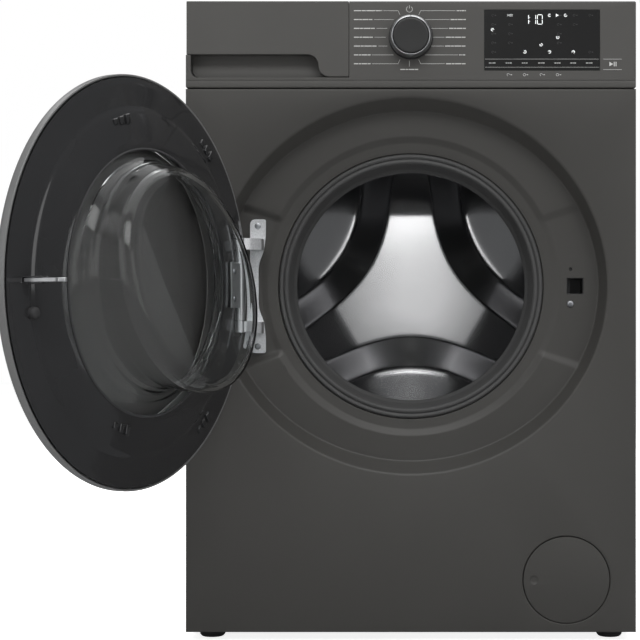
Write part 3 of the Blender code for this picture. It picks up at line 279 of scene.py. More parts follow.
def make_looks():
    made = {}
    for make, rows in ((metal, METAL_LOOKS), (lit_ink, INK_LOOKS)):
        made.update((name, make(FULL_NAMES.get(name, name), *row)) for name, row in rows.items())
    for name, (*row, sockets) in PLAIN_LOOKS.items():
        made[name] = plain(FULL_NAMES.get(name, name), *row, **sockets)
    made["stainless"] = circular_steel("stainless_steel", (192, 192, 193), 0.13)
    made["glass"] = clear_glass("clear_glass")
    made["concrete"] = concrete("concrete")
    made["circuit_board"] = circuit_board("circuit_board")
    return made


LOOKS = make_looks()


# ---------------------------------------------------------------- mesh building

def tidy_mesh(obj, sharp=35.0):
    """Merges doubled points, turns the faces outwards and shades the round stretches smooth."""
    shape = bmesh.new()
    shape.from_mesh(obj.data)
    bmesh.ops.remove_doubles(shape, verts=shape.verts, dist=2e-6)
    bmesh.ops.dissolve_degenerate(shape, edges=shape.edges, dist=1e-7)
    bmesh.ops.recalc_face_normals(shape, faces=shape.faces)
    shape.to_mesh(obj.data)
    shape.free()
    obj.data.shade_smooth()
    obj.data.set_sharp_from_angle(angle=math.radians(sharp))


def solid(name, points, faces, sharp=35.0):
    mesh = bpy.data.meshes.new(name)
    mesh.from_pydata([tuple(p) for p in points], [], faces)
    obj = bpy.data.objects.new(name, mesh)
    bpy.context.scene.collection.objects.link(obj)
    tidy_mesh(obj, sharp)
    return obj


def loft(name, rings, wrap=False, sharp=35.0):
    """A closed surface through rings of equally many points, or of one point for a pole."""
    points, starts, faces = [], [], []
    for ring in rings:
        starts.append(len(points))
        points.extend(ring)
    last = len(rings) if wrap else len(rings) - 1
    for i in range(last):
        j = (i + 1) % len(rings)
        count = max(len(rings[i]), len(rings[j]))
        for k in range(count):
            n = (k + 1) % count
            first = [starts[i] + (k if len(rings[i]) > 1 else 0)]
            second = [starts[j] + (k if len(rings[j]) > 1 else 0)]
            if len(rings[i]) > 1:
                first.append(starts[i] + n)
            if len(rings[j]) > 1:
                second.append(starts[j] + n)
            if len(first) + len(second) > 2:
                faces.append(first + second[::-1])
    if not wrap:
        for i in (0, len(rings) - 1):
            if len(rings[i]) > 2:
                faces.append([starts[i] + k for k in range(len(rings[i]))])
    return solid(name, points, faces, sharp)


def rounded(line, radius, steps=4, closed=False):
    """A line of points of any dimension with its corners cut by short curves."""
    points = [Vector(p) for p in line]
    count = len(points)
    made = []
    for i, here in enumerate(points):
        if not closed and i in (0, count - 1):
            made.append(tuple(here))
            continue
        before, after = points[i - 1] - here, points[(i + 1) % count] - here
        reach = min(radius, 0.45 * before.length, 0.45 * after.length)
        start, end = here + before.normalized() * reach, here + after.normalized() * reach
        for k in range(steps + 1):
            t = k / steps
            made.append(tuple(start * (1 - t) ** 2 + here * (2 * t * (1 - t)) + end * t ** 2))
    return made


def stroke(line, thickness):
    """The closed outline of a sheet whose middle follows the line."""
    one, other = [], []
    for i, point in enumerate(line):
        here = Vector(point)
        before, after = Vector(line[max(i - 1, 0)]), Vector(line[min(i + 1, len(line) - 1)])
        first = (here - before).normalized() if i else (after - here).normalized()
        last = (after - here).normalized() if i < len(line) - 1 else first
        mitre = (first + last).normalized()
        normal = Vector((-mitre.y, mitre.x))
        reach = thickness / 2 / max(mitre.dot(first), 0.5)
        one.append(tuple(here + normal * reach))
        other.append(tuple(here - normal * reach))
    return one + other[::-1]


def turn_ring(radius, along, sides, centre, axis):
    if radius < 1e-6:
        sides = 1
    ring = []
    for k in range(sides):
        a = 2 * math.pi * k / sides
        u, v = radius * math.cos(a), radius * math.sin(a)
        ring.append({
            "Y": (centre[0] + u, along, centre[1] + v),
            "Z": (centre[0] + u, centre[1] + v, along),
            "X": (along, centre[0] + u, centre[1] + v),
        }[axis])
    return ring


def turned(name, profile, centre=(0.0, AXIS_Z), axis="Y", sides=ROUND, wrap=True, sharp=35.0):
    """A turned piece. Its profile holds (radius, place along the axis) pairs."""
    return loft(name, [turn_ring(r, along, sides, centre, axis) for r, along in profile], wrap, sharp)


def rod(name, radius, ends, centre=(0.0, AXIS_Z), axis="Y", sides=SMALL):
    return turned(name, [(radius, ends[0]), (radius, ends[1])], centre, axis, sides, wrap=False)


def box(name, low, high):
    (x0, y0, z0), (x1, y1, z1) = low, high
    lower = [(x0, y0, z0), (x1, y0, z0), (x1, y1, z0), (x0, y1, z0)]
    return loft(name, [lower, [(x, y, z1) for x, y, _ in lower]])


def block(name, across, depth, up):
    """A box given by its two ends along each axis."""
    return box(name, *zip(across, depth, up))


def about(middle, half):
    return middle - half, middle + half


def slab(name, outline, depth):
    """An outline of (x, z) points extruded along Y between two depths."""
    return loft(name, [[(x, y, z) for x, z in outline] for y in depth])


def upright(name, outline, heights):
    """An outline of (x, y) points extruded along Z between two heights."""
    return loft(name, [[(x, y, z) for x, y in outline] for z in heights])


def behind(start, points):
    """Points whose second number is counted from a starting place."""
    return [(first, start + along) for first, along in points]


def round_box_outline(low, high, radius, steps=6):
    (x0, z0), (x1, z1) = low, high
    return rounded([(x0, z0), (x1, z0), (x1, z1), (x0, z1)], radius, steps, closed=True)


def arc(centre, radius, start, end, steps):
    angles = [math.radians(start + (end - start) * k / steps) for k in range(steps + 1)]
    return [(centre[0] + radius * math.cos(a), centre[1] + radius * math.sin(a)) for a in angles]


def bake(obj):
    """Turns the evaluated shape into the object's own mesh."""
    bpy.context.view_layer.update()
    graph = bpy.context.evaluated_depsgraph_get()
    mesh = bpy.data.meshes.new_from_object(obj.evaluated_get(graph))
    obj.modifiers.clear()
    obj.data = mesh


def carve(target, *others, operation="DIFFERENCE"):
    """Cuts the other shapes out of the target, or joins them to it, and removes them."""
    for other in others:
        modifier = target.modifiers.new("carve", "BOOLEAN")
        modifier.operation = operation
        modifier.object = other
    bake(target)
    for other in others:
        bpy.data.objects.remove(other)
    tidy_mesh(target)


def soften(obj, width, segments=3, angle=35.0):
    bevel = obj.modifiers.new("edges", "BEVEL")
    bevel.width = width
    bevel.segments = segments
    bevel.limit_method = "ANGLE"
    bevel.angle_limit = math.radians(angle)
    bevel.harden_normals = True


def dress(obj, slot, body=None, stands_for=(), look=None):
    """Gives a finished piece its material and its body, and hides the CAD nodes it stands for."""
    if isinstance(stands_for, str):
        stands_for = (stands_for,)
    obj.data.materials.clear()
    obj.data.materials.append(LOOKS[look or slot])
    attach(obj, body or BODY_OF[stands_for[0]])
    if stands_for:
        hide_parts(*stands_for)
    return obj


def opened(obj):
    obj.data.transform(OPENED)
    return obj


def joined(name, parts):
    """Several loose meshes as one object."""
    shape = bmesh.new()
    for part in parts:
        shape.from_mesh(part.data)
        bpy.data.objects.remove(part)
    mesh = bpy.data.meshes.new(name)
    shape.to_mesh(mesh)
    shape.free()
    obj = bpy.data.objects.new(name, mesh)
    bpy.context.scene.collection.objects.link(obj)
    tidy_mesh(obj)
    return obj


# ---------------------------------------------------------------- stage

def aim(obj, place, target):
    obj.location = place
    obj.rotation_euler = (Vector(target) - Vector(place)).to_track_quat("-Z", "Y").to_euler()
    bpy.context.scene.collection.objects.link(obj)


def soft_light(name, place, target, size, watts):
    data = bpy.data.lights.new(name, "AREA")
    data.shape = "RECTANGLE"
    data.size, data.size_y = size
    data.energy = watts
    obj = bpy.data.objects.new(name, data)
    obj.visible_camera = False
    aim(obj, place, target)


EYE_DISTANCE, EYE_HEIGHT = 2.31, 0.424
MIDDLE = (0.0, 0.0, 0.45)
CARD_Y = -3.4
# Small cards straight ahead that put the glints on the drum's back: height, size and watts.
CARDS = {
    "front_card": (0.49, (0.37, 0.33), 0.47),
    "band_card": (0.755, (0.3, 0.09), 0.5),
    "high_card": (1.47, (0.24, 0.3), 0.5),
}
# The large lights: place, size and watts.
LIGHTS = {
    "key_right": ((2.6, -2.8, 1.5), (2.4, 2.4), 28.0),
    "key_left": ((-2.6, -2.8, 1.5), (2.4, 2.4), 26.0),
    "key_top": ((0.0, -2.4, 2.8), (2.4, 1.0), 55.0),
    "top_light": ((0.0, 0.2, 3.2), (4.0, 3.4), 85.0),
    "back_light": ((0.6, 3.2, 1.6), (2.4, 2.0), 40.0),
}


def make_stage():
    scene = bpy.context.scene
    scene.view_settings.view_transform = "Standard"
    camera = bpy.data.cameras.new("camera")
    camera.sensor_width = 36.0
    camera.lens = 97.9
    camera.shift_x, camera.shift_y = -0.142, -0.011
    eye = bpy.data.objects.new("camera", camera)
    aim(eye, (0.0, FRONT - EYE_DISTANCE, EYE_HEIGHT), (0.0, 0.0, EYE_HEIGHT))
    scene.camera = eye
    scene.world = make_world()
    for name, (height, size, watts) in CARDS.items():
        soft_light(name, (0.0, CARD_Y, height), (0.0, 0.0, height), size, watts)
    for name, (place, size, watts) in LIGHTS.items():
        soft_light(name, place, MIDDLE, size, watts)
    make_floor()


def make_world():
    """White where it is seen, directly or through the glass, and a faint cool light everywhere else."""
    world = bpy.data.worlds.new("studio")
    world.use_nodes = True
    tree = world.node_tree
    seen, felt = tree.nodes["Background"], tree.nodes.new("ShaderNodeBackground")
    seen.inputs["Color"].default_value = (1.0, 1.0, 1.0, 1.0)
    felt.inputs["Color"].default_value = (0.96, 0.98, 1.0, 1.0)
    felt.inputs["Strength"].default_value = 0.14
    path, mix, either = (tree.nodes.new(f"ShaderNode{kind}") for kind in ("LightPath", "MixShader", "Math"))
    either.operation = "MAXIMUM"
    for source, target in (
            (path.outputs["Is Camera Ray"], either.inputs[0]),
            (path.outputs["Is Transmission Ray"], either.inputs[1]),
            (either.outputs["Value"], mix.inputs["Fac"]),
            (felt.outputs["Background"], mix.inputs[1]),
            (seen.outputs["Background"], mix.inputs[2]),
            (mix.outputs["Shader"], tree.nodes["World Output"].inputs["Surface"])):
        tree.links.new(source, target)
    return world


def make_floor():
    """A pale disc under the feet, brightened for the camera and left out of reflections."""
    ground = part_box("foot_front_left")[0].z
    reach, sides, thickness = 9.0, 96, 0.01
    turns = [2 * math.pi * k / sides for k in range(sides)]
    ring = [(reach * math.cos(a), reach * math.sin(a), ground) for a in turns]
    skirt = [[k, (k + 1) % sides, (k + 1) % sides + sides, k + sides] for k in range(sides)]
    below = [(x, y, ground - thickness) for x, y, _ in ring]
    floor = solid("floor", ring + below, [list(range(sides))] + skirt)
    look = Look("pale_floor", 0.8, Specular_IOR_Level=0.1)
    colour = look.blend(look.noise(3.0), (240, 240, 240), (246, 246, 246))
    look.link(colour, look.shader.inputs["Emission Color"])
    path, lift = look.node("LightPath"), look.node("Math", operation="MULTIPLY")
    look.link(path.outputs["Is Camera Ray"], lift.inputs[0])
    lift.inputs[1].default_value = 0.95
    look.link(lift.outputs["Value"], look.shader.inputs["Emission Strength"])
    floor.data.materials.append(look.made)
    floor.visible_glossy = False


# ---------------------------------------------------------------- front panel

POCKET_HALF = 27.0          # degrees that each pocket takes up on either side of the horizontal
POCKET_EASE = 1.7
RECESS_FLOOR = FRONT + 0.028
POCKET_FLOOR = {"right": FRONT + 0.031, "left": FRONT + 0.0355}
FOLD = 0.0022               # radius of the panel's folded edge
SHEET_BACK = 0.0012         # from the sheet's front to its back
SLOT_HALF = 0.01125
FLAP_HOLE = 0.06


def smooth_step(value):
    t = max(0.0, min(1.0, value))
    return t * t * (3 - 2 * t)


def floor_depth(angle):
    """The recess floor's depth in a direction: two pockets are pressed a little deeper."""
    from_right = abs((angle + 180.0) % 360.0 - 180.0)
    side, away = ("right", from_right) if from_right < 90 else ("left", 180.0 - from_right)
    share = smooth_step((POCKET_HALF + POCKET_EASE - away) / (2 * POCKET_EASE))
    return RECESS_FLOOR + (POCKET_FLOOR[side] - RECESS_FLOOR) * share


def edge_reach(angle):
    """The distance from the drum's axis to the panel's outline."""
    a = math.radians(angle)
    height = PANEL_HIGH.z - AXIS_Z if math.sin(a) > 0 else AXIS_Z
    ways = ((HALF_WIDTH, abs(math.cos(a))), (height, abs(math.sin(a))))
    return min(distance / share for distance, share in ways if share > 1e-9)


def panel_angles():
    """Directions from the drum's axis: even steps between the panel's corners, finer ones at the pockets."""
    low = math.degrees(math.atan2(-AXIS_Z, HALF_WIDTH))
    high = math.degrees(math.atan2(PANEL_HIGH.z - AXIS_Z, HALF_WIDTH))
    corners = [low, high, 180 - high, 180 - low, 360 + low]
    angles = []
    for start, end in zip(corners, corners[1:]):
        steps = round((end - start) / 1.8)
        angles += [start + (end - start) * k / steps for k in range(steps)]
    for middle in (0.0, 180.0):
        for sign in (-1, 1):
            angles += [middle + sign * POCKET_HALF + POCKET_EASE * k / 4 for k in range(-4, 5)]
    angles.sort()
    kept = [angles[0]]
    for a in angles[1:]:
        if a - kept[-1] > 0.12:
            kept.append(a)
        elif any(abs(a - corner) < 1e-6 for corner in corners):
            kept[-1] = a
    return kept


def panel_section(angle):
    """The panel's section from the inner lip to its flat face, as (across, up, y)."""
    floor = floor_depth(angle)
    outer = [
        (0.1782, 0.1782, FRONT + 0.04), (0.1782, 0.1782, FRONT + 0.0345), (0.1925, 0.1925, FRONT + 0.0333),
        (0.201, 0.201, floor), (0.2525, 0.235, floor), (0.2605, 0.2495, FRONT + 0.0015),
        (0.264, 0.253, FRONT),
    ]
    return rounded(outer, 0.003, 4)


def panel_edge(angles, inset, y):
    """A ring round the panel's outline, set in from it."""
    ring = []
    for angle in angles:
        reach, a = edge_reach(angle), math.radians(angle)
        x = max(-HALF_WIDTH + inset, min(HALF_WIDTH - inset, reach * math.cos(a)))
        z = AXIS_Z + reach * math.sin(a)
        ring.append((x, y, max(inset, min(PANEL_HIGH.z - inset, z))))
    return ring


def make_front_panel():
    """One pressing: the recess with its pockets, the flat face, the folded edge and the sheet's back."""
    angles = panel_angles()
    sections = [panel_section(a) for a in angles]
    count = len(sections[0])

    def section_ring(k, grow=0.0, shift=0.0):
        return [((s[k][0] + grow) * math.cos(math.radians(a)), s[k][2] + shift,
                 AXIS_Z + (s[k][1] + grow) * math.sin(math.radians(a))) for s, a in zip(sections, angles)]

    rings = [section_ring(k) for k in range(count)]
    for k in range(5):
        a = math.radians(90 - 22.5 * k)
        rings.append(panel_edge(angles, FOLD * (1 - math.cos(a)), FRONT + FOLD * (1 - math.sin(a))))
    seam = SHELL_LOW.y - SEAM_GAP
    for inset, y in ((0.0, seam), (SHEET, seam), (SHEET, FRONT + FOLD), (FOLD, FRONT + SHEET)):
        rings.append(panel_edge(angles, inset, y))
    for k in range(count - 1, -1, -2):
        rings.append(section_ring(k, SHEET_BACK if k <= 8 else 0.0, SHEET_BACK if k > 4 else 0.0))
    panel = loft("front_panel_pressing", rings, wrap=True)
    through = (FRONT, FRONT + 0.06)
    carve(
        panel,
        block("slot", about(LATCH.x, SLOT_HALF), through, about(LATCH.z, SLOT_HALF)),
        rod("hole", FLAP_HOLE, (FRONT - 0.02, FRONT + 0.01), FLAP_MIDDLE, sides=96),
        rod("pin", 0.0024, through, (LATCH.x - 0.006, LATCH.z + 0.023), sides=20),
        rod("dimple", 0.004, (FRONT, RECESS_FLOOR + 0.0006), (-0.1685, 0.35), sides=24),
    )
    dress(panel, "graphite_paint", stands_for="front_panel")
    make_flap_cup()


def make_flap_cup():
    """The pressed cup behind the service flap, with the filter's hole in its floor."""
    line = [(0.062, 0.001), (0.059, 0.0006), (0.0583, 0.003), (0.0583, 0.0188), (0.0385, 0.019),
            (0.0365, 0.021)]
    cup = turned("flap_cup", stroke(rounded(behind(FRONT, line), 0.002), 0.001), FLAP_MIDDLE, sides=96)
    dress(cup, "graphite_paint", "cabinet")


def make_flap():
    """The round flap: a flat disc with an eased edge and a finger dimple at its left."""
    radius = 0.0573
    face = [(0.0, 0.0025), (radius - 0.001, 0.0025), (radius, 0.0019), (radius, 0.001),
            (radius - 0.0004, 0.0003), (radius - 0.0012, 0.0), (0.0, 0.0)]
    flap = turned("service_flap_cover", behind(FRONT, face), FLAP_MIDDLE, sides=96)
    hollow = [(0.0, -0.005), (0.0062, -0.005), (0.0062, -0.0001), (0.005, 0.0009), (0.003, 0.0013),
              (0.0, 0.0014)]
    dimple_place = (FLAP.x - 0.043, FLAP.z)
    carve(flap, turned("dimple", behind(FRONT, hollow), dimple_place, sides=40))
    dress(flap, "graphite_paint", stands_for="service_flap")


# ---------------------------------------------------------------- console

NOTCH_FLOOR = FRONT + 0.0188
DRAWER_LOW, DRAWER_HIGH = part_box("drawer_front")
WINDOW_LOW, WINDOW_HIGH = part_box("display_window")
SCOOP_TOP = 0.7672
MOUTH_GAP = 0.0004          # round the drawer front
WINDOW_GAP = 0.0003
CONSOLE_WALL = 0.0025
CONSOLE_EDGE = 0.305        # past the console's left edge
GROOVE_Z = CONSOLE_LOW.z + 0.0099


def scoop_outline(grow):
    """The hole for the drawer front and its scoop, as (x, z) points."""
    left, low, right = -0.292 - grow, 0.737 - grow, DRAWER_HIGH.x + grow
    corner = arc((left + 0.01, low + 0.01), 0.01, 180, 270, 12)
    return [(-CONSOLE_EDGE, SCOOP_TOP - grow), (left, SCOOP_TOP - grow), *corner, (-0.1035, low),
            (right, low), (right, 0.85), (-CONSOLE_EDGE, 0.85)]


def make_console():
    """A hollow moulding with the drawer's notch and mouth, the window's hole and a groove along its foot."""
    low, high = CONSOLE_LOW, CONSOLE_HIGH
    body = box("control_panel_moulding", low, high)
    soften(body, 0.0022, 5)
    bake(body)
    wall = CONSOLE_WALL
    carve(body, box("hollow", (low.x + wall, low.y + wall, low.z + wall),
                    (high.x - wall, high.y + 0.02, high.z - wall)))
    mouth_wall = block("mouth_wall", (-0.298, -0.078), (NOTCH_FLOOR, NOTCH_FLOOR + 0.003),
                       (low.z + 0.001, high.z - 0.001))
    carve(body, mouth_wall, operation="UNION")
    gap = WINDOW_GAP
    window = round_box_outline((WINDOW_LOW.x - gap, WINDOW_LOW.z - gap),
                               (WINDOW_HIGH.x + gap, WINDOW_HIGH.z + gap), 0.0012)
    carve(
        body,
        slab("notch", scoop_outline(MOUTH_GAP), (-0.3, NOTCH_FLOOR)),
        block("mouth", (-0.2915, -0.0885), (-0.27, -0.24), (0.7385, 0.808)),
        slab("window", window, (-0.29, -0.26)),
        rod("spindle", 0.0042, (-0.29, -0.27), KNOB_MIDDLE, sides=32),
        block("groove", (-0.31, 0.31), (FRONT - 0.01, FRONT + 0.0007), about(GROOVE_Z, 0.0004)),
    )
    soften(body, 0.0003, 2, 50.0)
    dress(body, "console_plastic", stands_for="control_panel")


def drawer_outline():
    """The drawer front's edge: straight above the scoop, then an S-curve down to its right foot."""
    lower, top = DRAWER_LOW.z, DRAWER_HIGH.z
    middle, bend, centre_x = (SCOOP_TOP + lower) / 2, (SCOOP_TOP - lower) / 2, -0.1245
    first = arc((centre_x - bend * 0.9, middle), bend, 90, 10, 20)
    second = arc((centre_x + bend * 1.1, middle), bend, 190, 270, 20)
    corner = arc((DRAWER_HIGH.x - 0.0015, top - 0.0015), 0.0015, 0, 90, 5)
    return [(DRAWER_LOW.x, top), (DRAWER_LOW.x, SCOOP_TOP), *first, *second, (DRAWER_HIGH.x, lower), *corner]


def make_drawer():
    front = slab("drawer_front_moulding", drawer_outline(), (FRONT, NOTCH_FLOOR - 0.0006))
    carve(front, block("hollow", (-0.294, -0.146), (FRONT + 0.003, -0.25), (0.771, 0.834)))
    soften(front, 0.0012, 4, 50.0)
    dress(front, "drawer_plastic", stands_for="drawer_front")
    make_scoop()


def make_scoop():
    """The dished back of the finger scoop, which belongs to the drawer and sweeps back under its front."""
    low, high, left, right = 0.7376, 0.806, -0.2912, -0.09
    back, corner, steps = NOTCH_FLOOR - 0.0004, 0.01, 24
    rings = []
    for k in range(steps + 1):
        z = low + (high - low) * k / steps
        front = back - 0.003 + 0.0022 * smooth_step((z - low) / 0.02)
        inset = corner - math.sqrt(max(0.0, corner ** 2 - max(0.0, corner - (z - low)) ** 2))
        rings.append([(left + inset, front, z), (right, front, z), (right, back, z), (left + inset, back, z)])
    dress(loft("drawer_scoop", rings), "drawer_plastic", "drawer")


def make_knob():
    """The knob's core with its spindle, the satin ring with a pointer mark, and the skirt on the console."""
    front, rim_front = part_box("knob_body")[0].y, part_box("knob_ring")[0].y
    face = behind(front, [(0.0, 0.0006), (0.012, 0.0003), (0.0215, 0.0), (0.0229, 0.0004), (0.0235, 0.0014)])
    face += behind(FRONT, [(0.0235, -0.0006), (0.0032, -0.0006), (0.0032, 0.018), (0.0, 0.018)])
    body = turned("knob_core", rounded(face, 0.0006), KNOB_MIDDLE, sides=96)
    dress(body, "black_plastic", stands_for="knob_body", look="knob_face")
    rim = behind(rim_front, [(0.0239, 0.0006), (0.0246, 0.0), (0.0256, 0.0003),
                             (0.0276, 0.0036), (0.028, 0.0052)])
    rim += behind(FRONT, [(0.028, -0.0008), (0.0239, -0.0008)])
    ring = turned("knob_rim", rounded(rim, 0.0006, closed=True), KNOB_MIDDLE)
    carve(ring, block("pointer", about(KNOB.x, 0.0006), (rim_front - 0.004, FRONT - 0.0075),
                      (KNOB.z + 0.0244, KNOB.z + 0.03)))
    dress(ring, "satin_ring", stands_for="knob_ring")
    line = [(0.0242, -0.0006), (0.0292, -0.0006), (0.0296, -0.0001), (0.0242, -0.0001)]
    dress(turned("knob_skirt", behind(FRONT, line), KNOB_MIDDLE, sides=96), "black_plastic", "cabinet")


class Print:
    """Flat marks on the console's face, each a thin closed plate."""

    def __init__(self, surface, thickness=0.00006):
        self.front, self.back = surface - thickness, surface + 0.00002
        self.points, self.faces = [], []

    def plate(self, outline):
        start, count = len(self.points), len(outline)
        for y in (self.front, self.back):
            self.points += [(x, y, z) for x, z in outline]
        self.faces.append([start + k for k in range(count)])
        self.faces.append([start + count + k for k in range(count)][::-1])
        for k in range(count):
            n = (k + 1) % count
            self.faces.append([start + k, start + n, start + count + n, start + count + k])

    def bar(self, x0, x1, z, height):
        self.plate([(x0, z - height / 2), (x1, z - height / 2), (x1, z + height / 2), (x0, z + height / 2)])

    def line(self, start, end, width):
        a, b = Vector(start), Vector(end)
        side = (b - a).normalized().orthogonal() * width / 2
        self.plate([tuple(a + side), tuple(b + side), tuple(b - side), tuple(a - side)])

    def ring(self, centre, radius, width, start=0, end=360, steps=16):
        outer, inner = arc(centre, radius, start, end, steps), arc(centre, radius - width, start, end, steps)
        for k in range(steps):
            self.plate([outer[k], outer[k + 1], inner[k + 1], inner[k]])

    def words(self, x0, x1, z, height=0.0012):
        """A stand-in for a caption: a few short bars of uneven length."""
        length, x, k = x1 - x0, x0, 0
        shares = (0.26, 0.14, 0.32, 0.18)
        while x < x1 - 0.0008:
            end = min(x1, x + max(0.0014, length * shares[k % 4]))
            self.bar(x, end, z, height)
            x, k = end + 0.0007, k + 1

    def digit(self, centre, height, value, width):
        """A seven-segment numeral."""
        segments = {"0": "abcdef", "1": "bc", "4": "bcfg", "5": "acdfg", "8": "abcdefg"}[value]
        x, z, h, w = centre[0], centre[1], height / 2, height * 0.26
        top_left, top_right, left, right = (x - w, z + h), (x + w, z + h), (x - w, z), (x + w, z)
        low_left, low_right = (x - w, z - h), (x + w, z - h)
        ends = {
            "a": (top_left, top_right), "b": (top_right, right), "c": (right, low_right),
            "d": (low_left, low_right), "e": (left, low_left), "f": (top_left, left), "g": (left, right),
        }
        for segment in segments:
            a, b = map(Vector, ends[segment])
            trim = (b - a).normalized() * width * 0.65
            self.line(a + trim, b - trim, width)

    def finish(self, name, look, body="cabinet"):
        return dress(solid(name, self.points, self.faces), "console_plastic", body, look=look)


LEGEND_X, LEGEND_RADIUS, ROW_STEP = KNOB.x - 0.002, 0.0315, 0.01174
LEFT_ENDS = (-0.0365, -0.0491, -0.0456, -0.0484, -0.0431, -0.0518, -0.0518)
RIGHT_ENDS = (0.0592, 0.0512, 0.0491, 0.0446, 0.0438, 0.0624, 0.0451)
LABEL_LEFT, LABEL_RIGHT = -0.0756, 0.073


def make_legend():
    ink = Print(FRONT)
    thin = 0.00045
    for side, ends, limit in ((-1, LEFT_ENDS, LABEL_LEFT), (1, RIGHT_ENDS, LABEL_RIGHT)):
        for row, end in enumerate(ends):
            rise = (3 - row) * ROW_STEP
            z = KNOB.z + rise
            if row in (0, 6):
                inner = LEGEND_X + side * 0.015
                foot = (LEGEND_X + side * 0.0124, z - math.copysign(0.0056, rise))
                ink.line((inner, z), foot, thin)
            else:
                inner = LEGEND_X + side * math.sqrt(LEGEND_RADIUS ** 2 - rise ** 2)
            ink.bar(min(inner, end), max(inner, end), z, thin)
            caption = (limit, end - 0.0016) if side < 0 else (end + 0.0016, limit)
            ink.words(*caption, z)
    below = KNOB.z - 0.031
    ink.line((LEGEND_X, below), (LEGEND_X, below - 0.0078), thin)
    ink.words(LEGEND_X - 0.012, LEGEND_X + 0.012, below - 0.0118)
    top = (LEGEND_X, CONSOLE_HIGH.z - 0.0108)
    ink.ring(top, 0.0042, 0.0005, 125, 415, 20)
    ink.line((top[0], top[1] + 0.001), (top[0], top[1] + 0.0052), 0.0005)
    start = (0.2677, 0.7544)
    for dz in (-0.0073, 0.0065):
        ink.bar(0.2554, 0.28, start[1] + dz, thin)
    ink.plate([(start[0] - 0.0042, start[1] - 0.003), (start[0] + 0.0008, start[1]),
               (start[0] - 0.0042, start[1] + 0.003)])
    for dx in (0.0022, 0.0046):
        ink.line((start[0] + dx, start[1] - 0.003), (start[0] + dx, start[1] + 0.003), 0.0012)
    small = (0.1308, 0.1522, 0.1745, 0.196)
    for k, x in enumerate(small):
        z = WINDOW_LOW.z - 0.0058
        ink.ring((x - 0.0015, z), 0.0019, 0.0005, 0, 360 if k % 2 else 250, 14)
        ink.bar(x + 0.0014, x + 0.0034, z, 0.001)
    ink.finish("console_print", "ink")


KEY_X = (0.1086, 0.1308, 0.1525, 0.1739, 0.1956, 0.2168, 0.2375)


def make_display():
    outline = round_box_outline((WINDOW_LOW.x, WINDOW_LOW.z), (WINDOW_HIGH.x, WINDOW_HIGH.z), 0.001)
    window = slab("display_glass", outline, (WINDOW_LOW.y, WINDOW_HIGH.y))
    soften(window, 0.0002, 2)
    dress(window, "gloss_black", stands_for="display_window", look="display_black")
    surface = WINDOW_LOW.y
    ink = Print(surface)
    for z in (WINDOW_LOW.z + 0.015, WINDOW_LOW.z + 0.0042):
        ink.bar(WINDOW_LOW.x + 0.0008, WINDOW_HIGH.x - 0.0008, z, 0.0003)
    for k, x in enumerate(KEY_X):
        ink.words(x - 0.005, x + 0.005 - 0.001 * (k % 3), WINDOW_LOW.z + 0.0098, 0.001)
    ink.finish("display_print", "ink")
    lit = Print(surface)
    clock = 0.8136
    for x, value in ((0.153, "1"), (0.1625, "1"), (0.1712, "0")):
        lit.digit((x, clock), 0.0125, value, 0.0008)
    for dz in (-0.0025, 0.0025):
        lit.bar(0.1572, 0.1581, clock + dz, 0.0009)
    for k, value in enumerate("1400"):
        lit.digit((0.1276 + 0.0022 * k, 0.8191), 0.0026, value, 0.0004)
    lit.plate([(0.1925, 0.817), (0.1962, 0.8191), (0.1925, 0.8212)])
    icons = ((0.1084, 0.8), (0.184, 0.8191), (0.2053, 0.8191), (0.1949, 0.7898), (0.1729, 0.7802),
             (0.1513, 0.7706), (0.184, 0.7706), (0.2156, 0.7706))
    for k, place in enumerate(icons):
        lit.ring(place, 0.0021, 0.0006, 40 * k, 40 * k + 290, 14)
        lit.line((place[0] - 0.0007, place[1]), (place[0] + 0.0007, place[1] + 0.0007), 0.0006)
    lit.finish("display_segments", "lit")
    dim = Print(surface)
    columns = {KEY_X[0]: range(5), KEY_X[1]: range(4), KEY_X[4]: range(4), KEY_X[5]: (0, 1), KEY_X[6]: (0, 4)}
    for x, rows in columns.items():
        for row in rows:
            z = 0.8191 - 0.0122 * row
            dim.ring((x, z), 0.0016, 0.0004, 0, 300, 10)
            dim.bar(x + 0.0026, x + 0.0044, z, 0.001)
    dim.finish("display_unlit", "faint_ink")


# ---------------------------------------------------------------- seal and lock

def make_seal():
    """The bellows' visible mouth: a lip and a bead at the panel's edge, a sloped wall and a fold."""
    line = [
        (0.1768, 0.0352), (0.1752, 0.0322), (0.1728, 0.0332), (0.1714, 0.0372), (0.17, 0.034),
        (0.1675, 0.0326), (0.1654, 0.0352), (0.1642, 0.04), (0.1596, 0.0545), (0.1556, 0.0605),
        (0.1562, 0.065), (0.164, 0.06), (0.17, 0.053), (0.1745, 0.0545), (0.1745, 0.079),
    ]
    seal = turned("door_seal_rubber", stroke(rounded(behind(FRONT, line), 0.0016, 4), 0.002))
    dress(seal, "grey_rubber", stands_for="door_seal")
    wire = arc((0.175, FRONT + 0.0362), 0.0013, 0, 330, 11)
    dress(turned("seal_clamp_wire", wire), "zinc", stands_for="door_seal_clamp")


def make_lock():
    """The lock's dark throat behind the latch slot, and the slider in it."""
    low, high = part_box("door_lock")
    half = 0.01
    lock = box("lock_body", low, high)
    carve(lock, block("throat", about(LATCH.x, half), (low.y - 0.01, high.y - 0.0025), about(AXIS_Z, half)))
    soften(lock, 0.0008)
    dress(lock, "black_plastic", stands_for="door_lock")
    slider = block("lock_slider", (LATCH.x - half - 0.001, LATCH.x - half + 0.004),
                   (low.y + 0.01, high.y - 0.001), about(AXIS_Z, half + 0.001))
    soften(slider, 0.0005)
    dress(slider, "black_plastic", "cabinet")


# ---------------------------------------------------------------- screws

